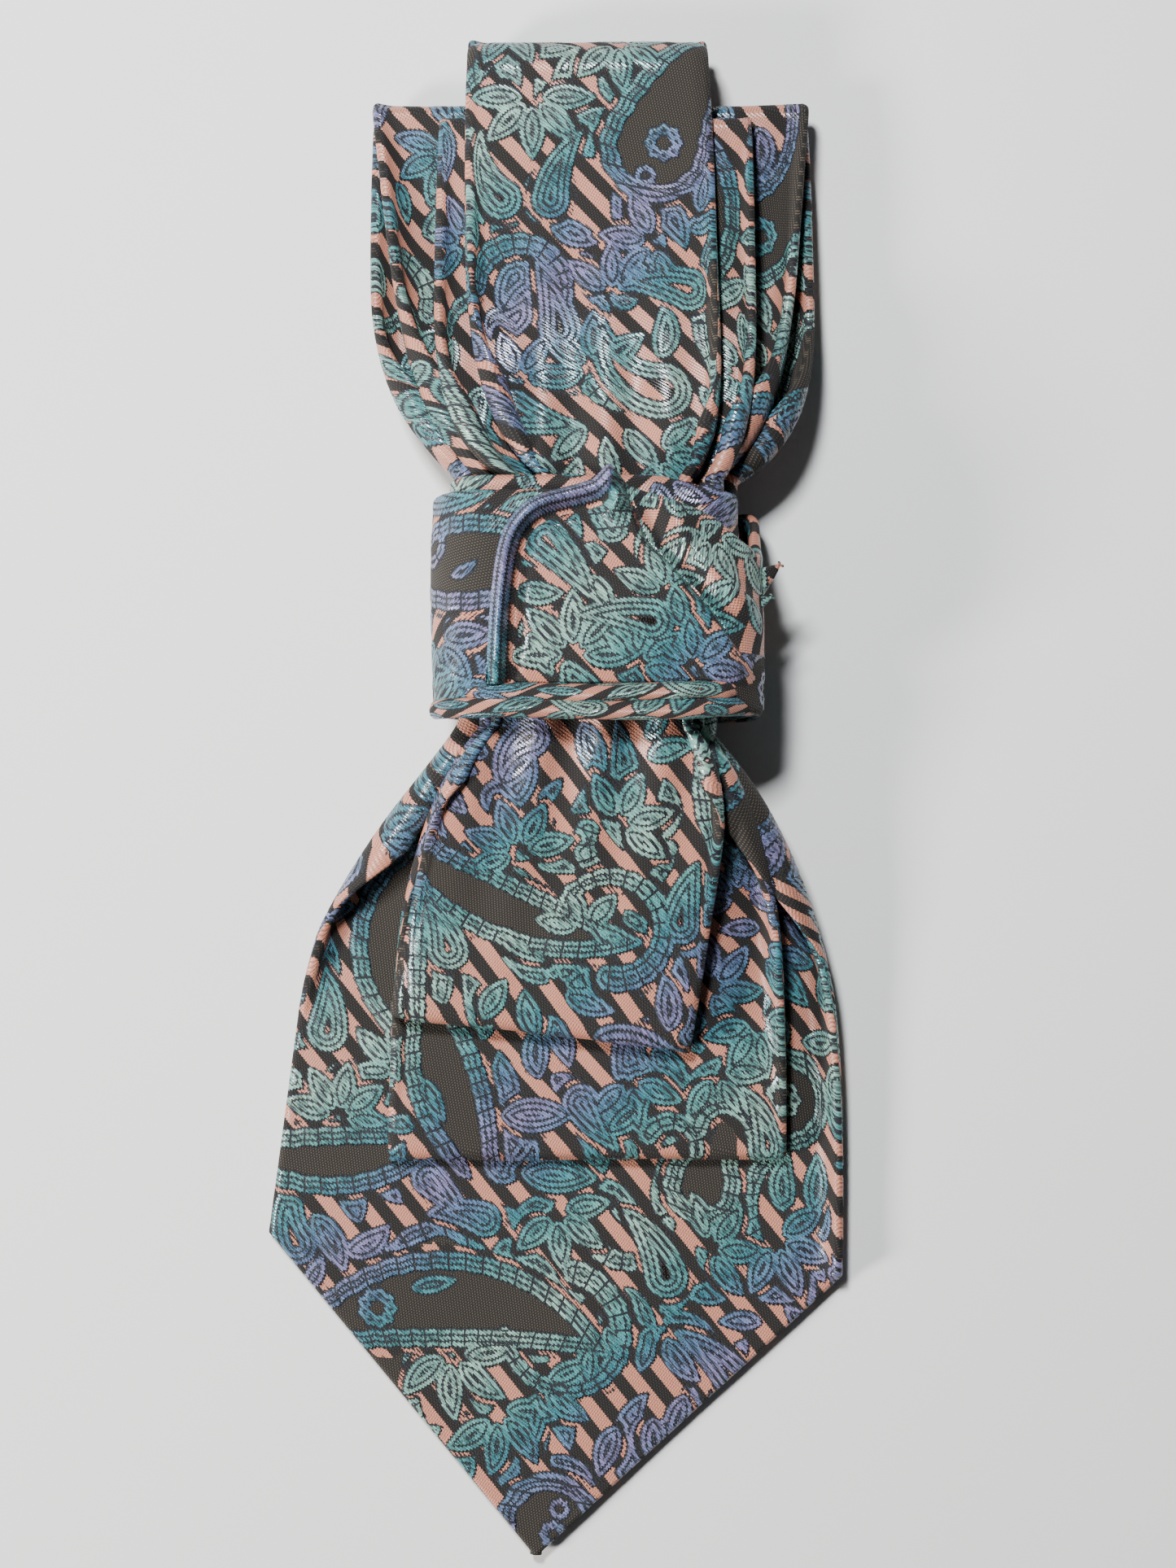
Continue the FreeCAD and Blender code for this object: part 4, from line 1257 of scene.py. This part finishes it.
lining = woven_material(
    "lining", low=(0.035, 0.060, 0.075), high=(0.075, 0.120, 0.140), repeat=0.7, roughness=0.55)
thread = woven_material(
    "thread", low=(0.16, 0.19, 0.20), high=(0.34, 0.40, 0.40), repeat=0.35, roughness=0.6)

hem = 6.5                 # the silk turned in round the lining
tip_share = np.linspace(0, 1, 60)[:, None]
tipping_y = BLADE_TIP_Y + hem * 2.0 + (65.0 - hem * 2.0) * tip_share
tipping_half = np.minimum(40.5, (tipping_y - BLADE_TIP_Y - hem * 1.35) * 0.95)
tipping_middle = (tipping_y - MOUTH_Y) * -math.tan(math.radians(BLADE_LEAN))
tipping_level = np.full_like(tipping_y, 0.35)
tipping = thin_sheet(
    "blade_tipping", np.hstack([tipping_middle - tipping_half, tipping_y, tipping_level]),
    np.hstack([tipping_middle + tipping_half, tipping_y, tipping_level]), 0.4, lining)
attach(tipping, "blade")
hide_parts("blade_tipping")


def stitches(name, starts, ends, thickness):
    """Short stitches of thread: each a round stroke between two points, thick in its middle."""
    starts, ends = np.array(starts, dtype=float), np.array(ends, dtype=float)
    ahead = ends - starts
    ahead = ahead / np.linalg.norm(ahead, axis=1, keepdims=True)
    side = np.cross(ahead, [0.0, 0.0, 1.0])
    side = side / np.linalg.norm(side, axis=1, keepdims=True)
    rise = np.cross(side, ahead)
    share = np.linspace(0.02, 0.98, 7)
    around = np.linspace(0, 2 * np.pi, 8, endpoint=False)
    size = thickness / 2 * np.sin(np.pi * share) ** 0.5
    rings = (
        starts[:, None, None, :] + (ends - starts)[:, None, None, :] * share[None, :, None, None]
        + size[None, :, None, None] * (np.cos(around)[None, None, :, None] * side[:, None, None, :]
                                       + np.sin(around)[None, None, :, None] * rise[:, None, None, :]))
    index = np.arange(len(starts) * share.size * around.size).reshape(len(starts), share.size, around.size)
    here, there = index[:, :-1], index[:, 1:]
    quads = np.stack([here, np.roll(here, -1, axis=2), np.roll(there, -1, axis=2), there], axis=-1)
    quads = quads.reshape(-1, 4)
    faces = quads.tolist() + index[:, 0, ::-1].tolist() + index[:, -1, :].tolist()
    mesh = bpy.data.meshes.new(name)
    mesh.from_pydata((rings.reshape(-1, 3) * MM).tolist(), [], faces)
    mesh.polygons.foreach_set("use_smooth", np.ones(len(mesh.polygons), dtype=bool))
    mesh.materials.append(thread)
    piece = bpy.data.objects.new(name, mesh)
    bpy.context.collection.objects.link(piece)
    return piece


along_seam = np.arange(MOUTH_Y - 68.0, MOUTH_Y - 38.0, 4.2)
seam_x = (along_seam - MOUTH_Y) * -math.tan(math.radians(BLADE_LEAN))
seam_z = np.full_like(along_seam, 0.35)
slip_stitches = stitches(
    "blade_slip_stitch", np.stack([seam_x - 0.5, along_seam, seam_z], axis=1),
    np.stack([seam_x + 0.5, along_seam + 1.6, seam_z], axis=1), 0.35)
tack_x = np.full(9, -5.0) + np.arange(9) * 0.22
bar_tack = stitches(
    "bar_tack", [(x - 1.4, -89.2 - 0.12 * i, 0.25) for i, x in enumerate(tack_x)],
    [(x + 2.0, -89.0 - 0.12 * i, 0.25) for i, x in enumerate(tack_x)], 0.4)
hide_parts("blade_bar_tack")
for piece in (slip_stitches, bar_tack):
    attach(piece, "blade")


# ---------------------------------------------------------------------------------------------
# The keeper: a band of the same silk sewn across the back of the rear loop, inside the bundle.
KEEPER_LOW, KEEPER_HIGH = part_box("keeper_loop")
KEEPER_HALF, SEWN_X, SEWN_LEVEL = 15.0, 13.2, 2.72
keeper_y = np.linspace(KEEPER_LOW[1] / MM, KEEPER_HIGH[1] / MM, 20)[:, None]
keeper_z = 2.45 + 0.12 * np.cos((keeper_y - keeper_y.mean()) * 0.5)
keeper = thin_sheet(
    "keeper_loop", np.hstack([0 * keeper_y - KEEPER_HALF, keeper_y, keeper_z]),
    np.hstack([0 * keeper_y + KEEPER_HALF, keeper_y, keeper_z]), 0.4, silk)
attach(keeper, "top_folds")
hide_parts("keeper_loop")
sewn_y = np.arange(60.5, 69.3, 1.1)
keeper_thread = stitches(
    "keeper_stitches", [(x - 0.6, y, SEWN_LEVEL) for x in (-SEWN_X, SEWN_X) for y in sewn_y],
    [(x + 0.6, y + 0.5, SEWN_LEVEL) for x in (-SEWN_X, SEWN_X) for y in sewn_y], 0.35)
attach(keeper_thread, "top_folds")
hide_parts("keeper_stitches")
